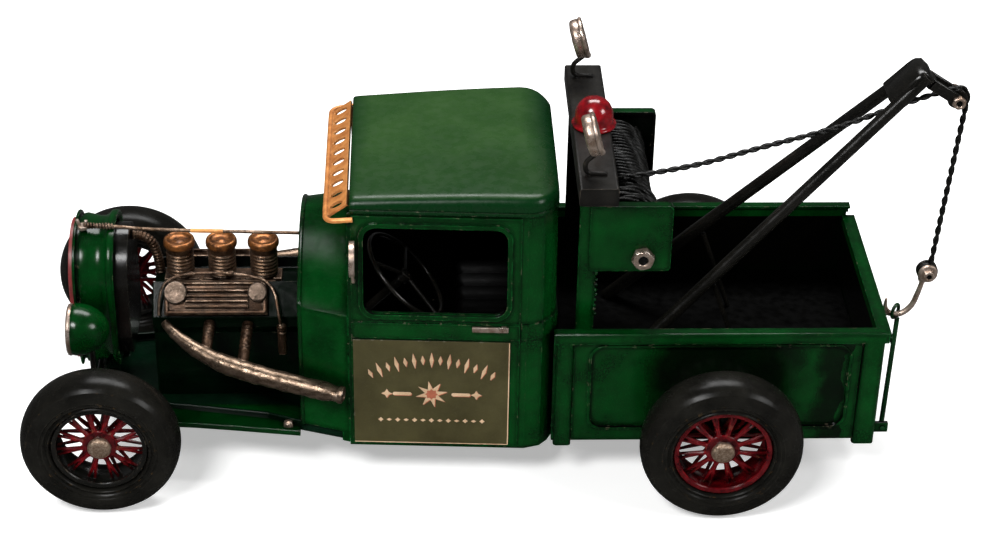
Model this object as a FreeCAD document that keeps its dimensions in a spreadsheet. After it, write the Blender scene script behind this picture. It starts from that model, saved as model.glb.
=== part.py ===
"""Toy tow truck: hot-rod pickup with an open engine, a cab, a short bed and a rope winch boom.

Stations along the truck are measured from the front axle, positive to the rear, in millimetres.
The frame has +Z up, +X to the rear and its origin under the middle of the truck, on the ground.
"""
import FreeCAD
import Part
import Sketcher
import math
import os
import re
from FreeCAD import Placement, Rotation, Vector

SIZES = {
    "origin_back": 138.0, "wheelbase": 217.9, "front_track": 54.8, "rear_track": 60.7,
    "front_radius": 28.0, "rear_radius": 28.85, "tyre_width": 16.0, "rim_share": 0.61,
    "axle_radius": 1.5, "running_gap": 0.05, "sheet_metal": 1.2,
    "pan_bottom": 17.5, "pan_front": -9.0, "pan_lip": 4.0,
    "shell_front": -11.0, "shell_rear": 3.5, "shell_half": 19.5, "shell_bottom": 33.0, "shell_top": 85.5,
    "lamp_radius": 9.3, "lamp_offset": 29.2, "lamp_height": 57.5,
    "block_front": 16.0, "block_rear": 69.2, "block_half": 14.5, "deck_height": 60.5,
    "stack_first": 25.5, "stack_pitch": 15.1, "stack_radius": 4.6, "cap_radius": 5.4, "stack_top": 77.6,
    "firewall": 69.3, "firewall_half": 36.8, "cowl_crown": 86.0, "crease": 71.5,
    "cab_front": 87.0, "cab_rear": 159.5, "cab_front_half": 43.0, "cab_rear_half": 46.0,
    "cab_bottom": 16.5, "cab_top": 110.65, "side_lean": 4.6, "corner_start": 149.0, "corner_half": 37.0,
    "belt_low": 63.8, "belt_high": 70.1, "window_front": 92.5, "window_rear": 142.1,
    "sill": 73.1, "lintel": 106.2, "door_rear": 146.8, "door_low": 17.6,
    "roof_front": 88.0, "roof_top": 115.9, "roof_rise": 2.0,
    "bed_front": 158.9, "bed_rear": 276.7, "bed_half": 45.2, "bed_top": 64.9, "bed_bottom": 18.4,
    "bed_floor": 36.0, "bed_wall": 42.0, "rail_lip": 60.7, "tailgate_top": 61.0,
    "post_front": 166.9, "post_rear": 173.2, "post_half": 34.1, "bar_bottom": 116.9, "bar_top": 123.7,
    "winch_x": 183.5, "winch_z": 98.5, "drum_radius": 5.0, "drum_half": 31.8,
    "winding_radius": 11.5, "second_radius": 13.0, "plate_face": 35.4,
    "leg_radius": 2.3, "leg_foot_x": 182.8, "leg_foot_y": 24.2, "leg_head_x": 288.0,
    "leg_head_y": 4.6, "leg_head_z": 144.7,
    "tip_x": 300.4, "tip_z": 134.5, "groove_radius": 2.6, "sheave_radius": 3.6, "rope_radius": 1.1,
    "block_x": 298.5, "block_z": 62.0, "block_radius": 3.9,
    "sling_x": 279.0, "sling_y": 39.2, "sling_z": 21.5, "eye_x": 288.7, "eye_z": 44.4,
    "steer_x": 107.0, "steer_y": 20.0, "steer_z": 74.0, "steer_radius": 18.0, "steer_tilt": 45.0,
}

doc = FreeCAD.newDocument("tow_truck")
sheet = doc.addObject("Spreadsheet::Sheet", "Sheet")
for row, (alias, number) in enumerate(SIZES.items(), 1):
    sheet.set(f"A{row}", alias)
    sheet.set(f"B{row}", str(number))
    sheet.setAlias(f"B{row}", alias)
doc.recompute()

AXIS_TURN = {
    "x": Rotation(Vector(0, 1, 0), 90),
    "y": Rotation(Vector(1, 0, 0), -90),
    "z": Rotation(),
}
nodes = []


# ---------------------------------------------------------------- helpers

def bound(text):
    """An expression in sheet names, as FreeCAD reads it."""
    return re.sub(r"[a-z]+(?:_[a-z]+)+|sill|lintel|firewall|crease|wheelbase",
                  lambda found: "Sheet." + found.group(0), str(text))


def number(text):
    """The number that an expression in sheet names comes to."""
    return float(sheet.evalExpression(bound(text).replace("Sheet.", ".")))


def at(x, y, z):
    """A point of the frame from a station, an offset and a height."""
    return Vector(number(x) - number("origin_back"), number(y), number(z))


def tie(item, **properties):
    """Bind properties of an object to expressions in sheet names."""
    for name, text in properties.items():
        item.setExpression(name, bound(text))
    return item


def locate(item, x, y, z, turn=None):
    """Bind an object's base point, after an optional turn about it."""
    item.Placement = Placement(Vector(), turn or Rotation())
    item.setExpression("Placement.Base.x", bound(f"({x}) - origin_back"))
    item.setExpression("Placement.Base.y", bound(y))
    item.setExpression("Placement.Base.z", bound(z))
    return item


def box(x, y, z):
    """A box between pairs of stations, offsets and heights."""
    item = doc.addObject("Part::Box", "box")
    tie(item, Length=f"({x[1]}) - ({x[0]})", Width=f"({y[1]}) - ({y[0]})", Height=f"({z[1]}) - ({z[0]})")
    return locate(item, x[0], y[0], z[0])


def turned_box(sizes, x, y, z, turn):
    """A box of three sizes, turned about its base corner."""
    item = doc.addObject("Part::Box", "box")
    tie(item, Length=sizes[0], Width=sizes[1], Height=sizes[2])
    return locate(item, x, y, z, turn)


def disc(axis, x, y, z, radius, length):
    """A cylinder along an axis, starting at a point."""
    item = doc.addObject("Part::Cylinder", "disc")
    tie(item, Radius=radius, Height=length)
    return locate(item, x, y, z, AXIS_TURN[axis])


def ring(x, y, z, radius, wire, turn=None):
    """A torus about its own turned Z axis."""
    item = doc.addObject("Part::Torus", "ring")
    tie(item, Radius1=radius, Radius2=wire)
    return locate(item, x, y, z, turn)


def rod(start, end, radius):
    """A round rod between two points."""
    first, last = at(*start), at(*end)
    item = doc.addObject("Part::Cylinder", "rod")
    tie(item, Radius=radius)
    item.Height = (last - first).Length
    return locate(item, *start, Rotation(Vector(0, 0, 1), last - first))


def hexagon(x, y, z, across, length):
    """A hexagonal nut body along Y, by its size across flats."""
    item = doc.addObject("Part::Prism", "nut")
    item.Polygon = 6
    tie(item, Circumradius=f"{across} / cos(30)", Height=length)
    return locate(item, x, y, z, AXIS_TURN["y"])


def fuse(*items):
    """One solid from several."""
    item = doc.addObject("Part::MultiFuse", "fuse")
    item.Shapes = list(items)
    return item


def group(*items):
    """Several separate solids as one sub-part."""
    item = doc.addObject("Part::Compound", "group")
    item.Links = list(items)
    return item


def cut(base, *tools):
    """The base without the tools."""
    item = doc.addObject("Part::Cut", "cut")
    item.Base = base
    item.Tool = tools[0] if len(tools) == 1 else group(*tools)
    return item


def solid(shape):
    """A feature whose shape is worked out from the sheet's sizes."""
    item = doc.addObject("Part::Feature", "solid")
    item.Shape = shape
    return item


def mirrored(item):
    """The mirror image of an object across the truck's middle."""
    item_mirror = doc.addObject("Part::Mirroring", "mirror")
    item_mirror.Source = item
    item_mirror.Normal = Vector(0, 1, 0)
    return item_mirror


def rounded(item, radius, chosen):
    """The object with the chosen edges rounded."""
    doc.recompute()
    edges = [index for index, edge in enumerate(item.Shape.Edges, 1) if chosen(edge)]
    fillet = doc.addObject("Part::Fillet", "fillet")
    fillet.Base = item
    fillet.Edges = [(index, number(radius), number(radius)) for index in edges]
    return fillet


def along(axis):
    """A test for straight edges that run along an axis."""
    pointer = {"x": Vector(1, 0, 0), "y": Vector(0, 1, 0), "z": Vector(0, 0, 1)}[axis]

    def test(edge):
        if edge.Curve.TypeId != "Part::GeomLine":
            return False
        return abs(edge.tangentAt(edge.FirstParameter).dot(pointer)) > 0.999
    return test


def sketched(plane, outline):
    """A body with one sketch of straight lines, every corner bound to the sheet."""
    body = doc.addObject("PartDesign::Body", "body")
    sketch = body.newObject("Sketcher::SketchObject", "sketch")
    support = [item for item in body.Origin.OriginFeatures if item.Role == plane][0]
    sketch.AttachmentSupport = [(support, "")]
    sketch.MapMode = "FlatFace"
    places = [Vector(number(u), number(v), 0) for u, v in outline]
    for index, place in enumerate(places):
        following = places[(index + 1) % len(places)]
        sketch.addGeometry(Part.LineSegment(place, following), False)
    for index, (u, v) in enumerate(outline):
        previous = (index - 1) % len(places)
        sketch.addConstraint(Sketcher.Constraint("Coincident", previous, 2, index, 1))
        for kind, text in (("DistanceX", u), ("DistanceY", v)):
            place = sketch.addConstraint(Sketcher.Constraint(kind, -1, 1, index, 1, number(text)))
            sketch.setExpression(f"Constraints[{place}]", bound(text))
    return body, sketch


def prism(plane, outline, start, depth):
    """A sketched outline padded along its plane's normal; start moves it along that normal."""
    body, sketch = sketched(plane, outline)
    pad = body.newObject("PartDesign::Pad", "pad")
    pad.Profile = sketch
    tie(pad, Length=depth)
    base = {"XY_Plane": ("0", "0", start), "YZ_Plane": (start, "0", "0")}[plane]
    locate(body, *base)
    return body


def revolved(outline, x, y, z, axis):
    """A sketched (radius, length) outline turned about an axis through a point."""
    body, sketch = sketched("XZ_Plane", outline)
    turn = body.newObject("PartDesign::Revolution", "turn")
    turn.Profile = sketch
    turn.ReferenceAxis = (sketch, ["V_Axis"])
    turn.Angle = 360
    return locate(body, x, y, z, AXIS_TURN[axis])


def symmetric(half):
    """A closed outline from its +Y half, mirrored to -Y."""
    return half + [(x, f"-({y})") for x, y in reversed(half)]


def pipe(route, radius, bend=0.45):
    """A tube along straight runs joined by tangent arcs; also the radii of its arcs."""
    points = [at(*place) for place in route]
    edges, radii, start = [], [], points[0]
    for before, corner, after in zip(points, points[1:], points[2:]):
        back, ahead = (before - corner), (after - corner)
        reach = bend * min(back.Length, ahead.Length)
        back.normalize()
        ahead.normalize()
        half_turn = (math.pi - back.getAngle(ahead)) / 2
        first, last = corner + back * reach, corner + ahead * reach
        arc_radius = reach / math.tan(half_turn)
        inward = (back + ahead).normalize()
        middle = corner + inward * (arc_radius / math.cos(half_turn) - arc_radius)
        edges.append(Part.LineSegment(start, first).toShape())
        edges.append(Part.Arc(first, middle, last).toShape())
        radii.append(arc_radius)
        start = last
    edges.append(Part.LineSegment(start, points[-1]).toShape())
    spine = Part.Wire(edges)
    face_circle = Part.Circle(points[0], points[1] - points[0], number(radius))
    tube = spine.makePipeShell([Part.Wire(face_circle.toShape())], True, True)
    expected = math.pi * number(radius) ** 2 * spine.Length
    if abs(tube.Volume - expected) > 0.02 * expected:
        raise RuntimeError(f"a tube has volume {tube.Volume:.1f}, not {expected:.1f}")
    return tube, radii, spine.Length


def node(name, item):
    """Name a finished sub-part."""
    item.Label = name
    nodes.append(item)
    return item


# ---------------------------------------------------------------- chassis and axles

def chassis_pan():
    """Pressed tray from the grille to the back of the cab, with uprights for the front axle."""
    half = [("pan_front", "20"), ("28", "25.4"), ("57", "30.6"), ("70", "36"), ("85", "41"), ("157", "41")]
    inner = [("pan_front + 1.2", "18.8"), ("28", "24.2"), ("57", "29.4"), ("70", "34.8"),
             ("85", "39.8"), ("155.8", "39.8")]
    tray = cut(prism("XY_Plane", symmetric(half), "pan_bottom", "pan_lip"),
               prism("XY_Plane", symmetric(inner), "pan_bottom + sheet_metal", "pan_lip"))
    uprights = [box(("-2.6", "2.6"), (low, high), ("pan_bottom + 1", "shell_bottom"))
                for low, high in (("11", "13.4"), ("-13.4", "-11"))]
    axle_hole = disc("y", "0", "-20", "front_radius", "axle_radius", "40")
    node("chassis_pan", cut(fuse(tray, *uprights), axle_hole))


def axles():
    """A plain round axle at each end, with a wheel running on each of its tips."""
    for name, x, z, track in (("front_axle", "0", "front_radius", "front_track"),
                              ("rear_axle", "wheelbase", "rear_radius", "rear_track")):
        node(name, disc("y", x, f"-({track} + 3.6)", z, "axle_radius", f"2 * ({track} + 3.6)"))


# ---------------------------------------------------------------- wheels

def wheel(name, x, radius, track, side):
    """A tyre, and a wire wheel of rim, crossed spokes and a hub with a closed end cap."""
    rim = f"{radius} * rim_share"
    seat = "0.35 * tyre_width"
    y = f"{side} * {track}"
    half = [(rim, seat), (f"{radius} * 0.74", "0.5 * tyre_width"), (f"{radius} * 0.87", "0.475 * tyre_width"),
            (f"{radius} * 0.965", "0.33 * tyre_width"), (radius, "0.12 * tyre_width")]
    outline = half + [(u, f"-({v})") for u, v in reversed(half)]
    node(f"tyre_{name}", revolved(outline, x, y, radius, "y"))

    barrel = revolved([(rim, seat), (f"{rim} - 2.1", seat), (f"{rim} - 2.1", f"{seat} - 1"),
                       (f"{rim} - 1", f"{seat} - 2"), (f"{rim} - 1", f"2 - {seat}"),
                       (f"{rim} - 2.1", f"1 - {seat}"), (f"{rim} - 2.1", f"-{seat}"), (rim, f"-{seat}")],
                      x, y, radius, "y")
    bore = "axle_radius + running_gap"
    hub_outline = [(bore, "-5.2"), ("3.4", "-5.2"), ("3.4", "-4"), ("2.6", "-3.4"), ("2.6", "2.6"),
                   ("3.6", "3.2"), ("4.4", "4.4"), ("4.2", "6"), ("3", "6.6"), ("0", "6.6"), ("0", "3.9"),
                   (bore, "3.9")]
    hub = revolved([(u, f"{side} * ({v})") for u, v in hub_outline], x, y, radius, "y")
    node(f"wire_wheel_{name}", fuse(barrel, hub, solid(spokes(x, radius, y, rim, side))))


def spokes(x, radius, y, rim, side, count=12):
    """Crossed wire spokes: an outer set from every hub angle, and an inner set from every other one."""
    centre = at(x, y, radius)
    hub_reach, rim_reach = 2.2, number(rim) - 1.3
    wire_radius, cross_angle = 0.42, math.radians(19)
    outer_dish, inner_dish = (3.0, 1.2), (-3.0, -1.2)
    wires = []
    for index in range(count):
        hub_angle = math.radians(360 / count * index)
        dishes = [outer_dish] if index % 2 == 0 else [outer_dish, inner_dish]
        for rim_angle in (hub_angle - cross_angle, hub_angle + cross_angle):
            for hub_offset, rim_offset in dishes:
                start = centre + spoke_end(hub_reach, hub_angle, side * hub_offset)
                end = centre + spoke_end(rim_reach, rim_angle, side * rim_offset)
                wires.append(Part.makeCylinder(wire_radius, (end - start).Length, start, end - start))
    return wires[0].multiFuse(wires[1:])


def spoke_end(reach, angle, offset):
    """A point round the wheel's Y axis."""
    return Vector(reach * math.cos(angle), offset, reach * math.sin(angle))


def wheels():
    for name, x, radius, track, side in (("front_left", "0", "front_radius", "front_track", -1),
                                         ("front_right", "0", "front_radius", "front_track", 1),
                                         ("rear_left", "wheelbase", "rear_radius", "rear_track", -1),
                                         ("rear_right", "wheelbase", "rear_radius", "rear_track", 1)):
        wheel(name, x, radius, track, side)


# ---------------------------------------------------------------- nose

def shell_outline(inset):
    """Front view of the grille shell, drawn in by an inset, as one closed wire in the YZ plane."""
    half, top = number("shell_half") - inset, number("shell_top") - inset
    bottom = number("shell_bottom") + inset
    foot, shoulder, crown = half - 4.0, top - 17.0, half - 10.5
    places = [Vector(0, foot, bottom), Vector(0, half, bottom + 9), Vector(0, half, shoulder),
              Vector(0, half - 2.9, shoulder + 8.8), Vector(0, crown, top - 1.6), Vector(0, 0, top),
              Vector(0, -crown, top - 1.6), Vector(0, 2.9 - half, shoulder + 8.8), Vector(0, -half, shoulder),
              Vector(0, -half, bottom + 9), Vector(0, -foot, bottom)]
    edges = [Part.LineSegment(places[0], places[1]), Part.LineSegment(places[1], places[2]),
             Part.Arc(places[2], places[3], places[4]), Part.Arc(places[4], places[5], places[6]),
             Part.Arc(places[6], places[7], places[8]), Part.LineSegment(places[8], places[9]),
             Part.LineSegment(places[9], places[10]), Part.LineSegment(places[10], places[0])]
    return Part.Wire([edge.toShape() for edge in edges])


def shell_slab(inset, start, end):
    """The shell outline, inset, as a slab between two stations."""
    slab = Part.Face(shell_outline(inset)).extrude(Vector(number(end) - number(start), 0, 0))
    slab.translate(Vector(number(start) - number("origin_back"), 0, 0))
    return slab


def nose():
    """Grille shell, its slotted insert, the radiator core, cap, hose and the stay rod."""
    shell = shell_slab(0, "shell_front", "shell_rear").cut(shell_slab(1.4, "shell_front - 1", "shell_rear + 1"))
    node("grille_shell", solid(shell))
    insert = shell_slab(1.5, "shell_front - 1.6", "shell_front + 0.6")
    slots = []
    for index in range(9):
        for side in (-1, 1):
            low = at("shell_front - 3", side * 8.2 - 6.2, 40.5 + 4.2 * index)
            slots.append(Part.makeBox(6, 12.4, 2.2, low))
    node("grille_insert", solid(insert.cut(Part.makeCompound(slots))))
    node("radiator_core", solid(shell_slab(3.2, "shell_rear - 3", "shell_rear + 4.6")))
    cap = fuse(disc("z", "-7.5", "-6", "shell_top - 0.3", "1.9", "1.2"),
               rod(("-8.3", "-6", "shell_top"), ("-9.4", "-6", "shell_top + 3.2"), "0.6"),
               rod(("-6.7", "-6", "shell_top"), ("-6.2", "-6", "shell_top + 2.8"), "0.6"))
    node("radiator_cap", cap)
    hose_route = [("8.15", "4", "76.4"), ("12.4", "4", "76.4"), ("17", "4", "71"),
                  ("17.6", "4", "60.65")]
    node("radiator_hose", solid(pipe(hose_route, "1.9")[0]))
    stay_route = [("-5.4", "-6", "shell_top + 0.55"), ("4", "-6", "shell_top + 0.5"),
                  ("14", "-6", "84.6"), ("firewall - 0.05", "-6", "82.9")]
    node("stay_rod", solid(pipe(stay_route, "0.65")[0]))


def headlights():
    """Two bucket lamps, and the bar with two posts that carries them."""
    lamps = []
    for side in ("-1", "1"):
        y = f"{side} * lamp_offset"
        outline = [("0", "0"), ("8.2", "0"), ("lamp_radius", "0.6"), ("lamp_radius", "3.6"),
                   ("8.4", "7.4"), ("6.2", "11.2"), ("3.0", "13.8"), ("0", "14.4")]
        lamps.append(revolved(outline, "-12", y, "lamp_height", "x"))
    node("headlights", group(*lamps))
    bar = disc("y", "-4.4", "-lamp_offset - 1", "30.6", "1.1", "2 * (lamp_offset + 1)")
    posts = [disc("z", "-4.4", f"{side} * lamp_offset", "30.6", "1.1", "lamp_height - 30.6 - 8")
             for side in (-1, 1)]
    node("headlight_bar", cut(fuse(bar, *posts), *[headlight_clear(side) for side in (-1, 1)]))


def headlight_clear(side):
    """Room round a lamp bucket, so that its post stops at its skin."""
    return disc("x", "-8.8", f"{side} * lamp_offset", "lamp_height", "lamp_radius + 0.02", "9")


# ---------------------------------------------------------------- engine

def engine():
    """V-shaped block, valve covers with filler discs, manifold, three ribbed stacks and their caps."""
    half = [("block_half", "pan_bottom + 1.25"), ("block_half", "46"), ("16.9", "50"), ("16.9", "54.1"),
            ("8.4", "64.2"), ("6.5", "deck_height")]
    outline = half + [(f"-({u})", v) for u, v in reversed(half)]
    node("engine_block", prism("YZ_Plane", outline, "block_front", "block_rear - block_front"))
    manifold = fuse(box(("19.8", "62"), ("-3.4", "3.4"), ("deck_height", "deck_height + 1.6")),
                    *[disc("z", f"stack_first + {index} * stack_pitch", "0", "deck_height", "4.6", "2.6")
                      for index in range(3)],
                    disc("x", "22", "-5.1", "deck_height + 1.3", "0.7", "38"),
                    box(("32.4", "33.8"), ("-5.1", "0"), ("deck_height", "deck_height + 2.2")),
                    box(("47.4", "48.8"), ("-5.1", "0"), ("deck_height", "deck_height + 2.2")))
    node("intake_manifold", manifold)
    stacks, caps = [], []
    for index in range(3):
        x = f"stack_first + {index} * stack_pitch"
        ribs = [("0", "0"), ("stack_radius - 0.5", "0")]
        for rib in range(6):
            ribs += [("stack_radius", str(0.9 + 1.7 * rib)), ("stack_radius - 0.6", str(1.75 + 1.7 * rib))]
        ribs += [("stack_radius - 0.6", "11.4"), ("0", "11.4")]
        stacks.append(revolved(ribs, x, "0", "deck_height + 2.6", "z"))
        lid = [("0", "0"), ("cap_radius - 0.3", "0"), ("cap_radius", "0.5"), ("cap_radius", "2.3"),
               ("cap_radius - 0.7", "3.1"), ("2.6", "3.1"), ("2.2", "2.2"), ("0", "2.2")]
        caps.append(revolved(lid, x, "0", "deck_height + 14", "z"))
    node("carburettor_stacks", group(*stacks))
    node("stack_caps", group(*caps))
    node("valve_covers", group(*[valve_cover(side) for side in (-1, 1)]))


def valve_cover(side):
    """Ribbed cover on the sloping head face, with a breather disc at each end."""
    face = Rotation(Vector(1, 0, 0), side * -50.0)
    normal = face.multVec(Vector(0, 0, 1))
    uphill = face.multVec(Vector(0, -side, 0))
    foot = at(20.5, side * 16.55, 54.55)
    pieces = [Part.makeBox(37, 12.4, 3.2)]
    for rib in (3.2, 5.2, 7.2, 9.2):
        pieces.append(Part.makeBox(24, 0.9, 3.9, Vector(8, rib, 0)))
    for x in (4.2, 33.6):
        pieces.append(Part.makeCylinder(3.3, 4.6, Vector(x, 7.4, 0), Vector(0, 0, 1)))
    body = pieces[0].multiFuse(pieces[1:]).removeSplitter()
    matrix = FreeCAD.Matrix(1, 0, 0, foot.x,
                            0, uphill.y, normal.y, foot.y,
                            0, uphill.z, normal.z, foot.z,
                            0, 0, 0, 1)
    return solid(body.transformGeometry(matrix))


def exhausts():
    """A swept collector with two branch pipes on each side of the engine."""
    collector = [("20.4", "-17.4", "52.4"), ("24.6", "-22.6", "49.8"), ("37.6", "-31", "45.6"),
                 ("52.1", "-37", "43.6"), ("69.2", "-43", "42.6"), ("84.6", "-47.2", "41.2")]
    branches = [[("36.6", "-17.2", "51.8"), ("36.4", "-22.4", "51"), ("35.6", "-28.6", "46.6")],
                [("50.2", "-17.2", "51.2"), ("50.0", "-24", "50.4"), ("49.0", "-34.6", "45")]]
    left = pipe(collector, "3")[0]
    left = left.multiFuse([pipe(route, "2")[0] for route in branches])
    left = left.cut(Part.makeBox(60, 33.9, 20, at(10, -16.95, 42)))
    node("exhaust_left", solid(left))
    node("exhaust_right", mirrored(solid(left)))
    oil = [("62.5", "-14.55", "45.6"), ("62.4", "-20.4", "45.6"), ("61.8", "-20.8", "55.4"),
           ("59.6", "-12.2", "65.6"), ("50", "-10.4", "68.2"), ("36", "-9.8", "68.8"),
           ("22", "-11", "67.8"), ("18.4", "-15", "62"), ("18.6", "-17.8", "55.4")]
    node("oil_line", solid(pipe(oil, "0.6", 0.4)[0]))


# ---------------------------------------------------------------- cowl and cab

def cowl_wire(x, half, inset):
    """Cross-section of the cowl at a station, as a wire with an arched top."""
    top, side = number("cowl_crown") - inset, half - inset
    bottom, knee = number("cab_bottom") + 1.0 + inset, number("crease")
    arch = Part.Arc(at(x, side, knee), at(x, 0, top), at(x, -side, knee))
    lines = [Part.LineSegment(at(x, side, bottom), at(x, side, knee)), arch,
             Part.LineSegment(at(x, -side, knee), at(x, -side, bottom)),
             Part.LineSegment(at(x, -side, bottom), at(x, side, bottom))]
    return Part.Wire([line.toShape() for line in lines])


def cowl():
    """Tapered scuttle between firewall and cab, closed at the firewall and open to the cab."""
    front, rear = number("firewall"), number("cab_front") - 0.05
    grow = (number("cab_front_half") - number("firewall_half")) / (rear - front)
    inner_half = number("firewall_half") + grow * 1.2
    outer = Part.makeLoft([cowl_wire(front, number("firewall_half"), 0),
                           cowl_wire(rear, number("cab_front_half"), 0)], True)
    inner = Part.makeLoft([cowl_wire(front + 1.2, inner_half, 1.2),
                           cowl_wire(rear + 1, number("cab_front_half") + grow, 1.2)], True)
    pan_room = Part.makeBox(40, 84, 4.2, at(front - 5, -42, number("pan_bottom") - 0.1))
    node("cowl", solid(outer.cut(inner).cut(pan_room)))


def cab_plan(grow):
    """Plan of the cab, offset outwards, as corner points of its +Y half."""
    return [(f"cab_front - {max(grow, 0)}", f"cab_front_half + {grow}"),
            ("corner_start", f"cab_rear_half + {grow}"),
            (f"corner_start + 5.6 + {grow} * 0.4", f"cab_rear_half - 1.7 + {grow} * 0.9"),
            (f"cab_rear - 1.9 + {grow} * 0.8", f"corner_half + 4 + {grow} * 0.6"),
            (f"cab_rear + {grow}", f"corner_half + {grow} * 0.3")]


def lean_in(z):
    """How far the cab's sides have leaned inwards at a height above the belt."""
    return number("side_lean") * (z - number("belt_high")) / (number("cab_top") - number("belt_high"))


def leaning(half, low, high):
    """A block over a half plan: upright up to the top of the belt, its sides leaning inwards from there."""
    def wire(z):
        inward = lean_in(z)
        right = [at(x, number(y) - inward, z) for x, y in half]
        left = [Vector(place.x, -place.y, place.z) for place in reversed(right)]
        return Part.makePolygon(right + left + right[:1])

    belt = number("belt_high")
    lower = Part.Face(wire(belt)).extrude(Vector(0, 0, number(low) - belt))
    upper = Part.makeLoft([wire(belt), wire(number(high))], True, True)
    return solid(lower.fuse(upper))


def opening(x, y, z, radius):
    """A box with its four long edges rounded along Y."""
    return rounded(box(x, y, z), radius, along("y"))


def cab():
    """Open-front cab shell with side windows, a back light, a floor and a belt round the rear corners."""
    shell = leaning(cab_plan(0), "cab_bottom", "cab_top")
    inside = leaning(cab_plan(-1.2), "pan_bottom + 4.2", "cab_top + 1")
    windows = opening(("window_front", "window_rear"), ("-60", "60"), ("sill", "lintel"), "4.5")
    windscreen = leaning([("cab_front - 2", "39.6"), ("cab_front + 4", "39.6")], "pan_bottom", "105.6")
    rear_light = rounded(box(("cab_rear - 4", "cab_rear + 2"), ("-21", "21"), ("80", "100")), "4", along("x"))
    pan_room = box(("cab_front - 4", "157.05"), ("-41.05", "41.05"), ("cab_bottom - 2", "pan_bottom + 4.05"))
    belt = cut(prism("XY_Plane", symmetric(cab_plan(0.7)), "belt_low", "belt_high - belt_low"),
               box(("cab_front - 4", "door_rear + 0.4"), ("-60", "60"), ("belt_low - 1", "belt_high + 1")),
               prism("XY_Plane", symmetric(cab_plan(-0.6)), "belt_low - 1", "30"))
    hull = cut(shell, inside, windows, windscreen, rear_light, pan_room)
    node("cab_body", fuse(hull, belt))


def roof_section(x, half, top):
    """Cross-section of the roof at a station: upright sides, rounded shoulders and a slight crown."""
    base = number("cab_top") + 0.02
    right = [(half, base), (half, top - 3.0), (half - 1.2, top - 1.4), (half - 4.0, top - 0.3),
             (half * 0.5, top + 0.2)]
    corners = right + [(0, top + 0.35)] + [(-y, z) for y, z in reversed(right)]
    return Part.makePolygon([at(x, y, z) for y, z in corners + corners[:1]])


def roof():
    """Hollow crowned roof, higher at the rear, drawn in at its rear corners."""
    stations = [("roof_front", "cab_front_half + 0.4", "roof_top - 0.1"),
                ("corner_start", "cab_rear_half + 0.4", "roof_top + roof_rise"),
                ("corner_start + 5.6", "cab_rear_half - 1.4", "roof_top + roof_rise - 0.6"),
                ("cab_rear - 1.6", "corner_half + 4.2", "roof_top + 0.3"),
                ("cab_rear + 0.4", "corner_half + 0.2", "roof_top - 0.5")]
    sections = [roof_section(x, number(f"{half} - side_lean"), number(top)) for x, half, top in stations]
    crowned = Part.makeLoft(sections, True, True)
    hollow_plan = [("roof_front + 1.6", "cab_front_half - 1.2")] + cab_plan(-1.4)[1:]
    hollow_plan = [(x, f"{half} - side_lean") for x, half in hollow_plan]
    hollow = prism("XY_Plane", symmetric(hollow_plan), "cab_top - 1", "3.4")
    node("roof", cut(solid(crowned), hollow))


def sun_visor():
    """Slotted copper visor: a sloping band with a round front tube and two side arms."""
    rear, front = at("roof_front - 0.9", 0, 113.5), at("80.2", 0, 108.5)
    slope = (front - rear).normalize()
    length = (front - rear).Length
    across = 2 * number("cab_front_half - side_lean") - 3
    band = Part.makeBox(length, across, 0.9)
    slots = []
    for index in range(10):
        centre = across * (index + 0.5) / 10
        slot = Part.makeCylinder(1.55, 4, Vector(0, 0, -2), Vector(0, 0, 1))
        matrix = FreeCAD.Matrix()
        matrix.scale(Vector(1.9, 1, 1))
        slot = slot.transformGeometry(matrix)
        slot.rotate(Vector(), Vector(0, 0, 1), 24)
        slot.translate(Vector(length * 0.52, centre, 0))
        slots.append(slot)
    band = band.cut(Part.makeCompound(slots))
    normal = slope.cross(Vector(0, 1, 0))
    matrix = FreeCAD.Matrix(slope.x, 0, normal.x, rear.x,
                            0, 1, 0, -across / 2,
                            slope.z, 0, normal.z, rear.z,
                            0, 0, 0, 1)
    band = band.transformGeometry(matrix)
    half = across / 2 - 0.4
    arm = [("89.2", half + 4.1, 109.3), ("80.0", half + 3.5, 108.3), ("79.8", half - 4, 108.3)]
    frame = pipe([(x, -y, z) for x, y, z in arm] + arm[::-1], "0.9")[0]
    node("sun_visor", solid(band.fuse(frame)))


def lean_above(shape, height, yaw):
    """A door shape whose part above a height leans inwards with the cab's side."""
    slope = math.degrees(math.atan(lean_in(number("belt_high") + 1) * math.cos(math.radians(yaw))))
    lower = shape.common(Part.makeBox(200, 20, height, Vector(-50, -10, 0)))
    upper = shape.common(Part.makeBox(200, 20, 200, Vector(-50, -10, height - 0.4)))
    upper.rotate(Vector(0, 0, height), Vector(1, 0, 0), slope)
    return lower.fuse(upper)


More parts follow.
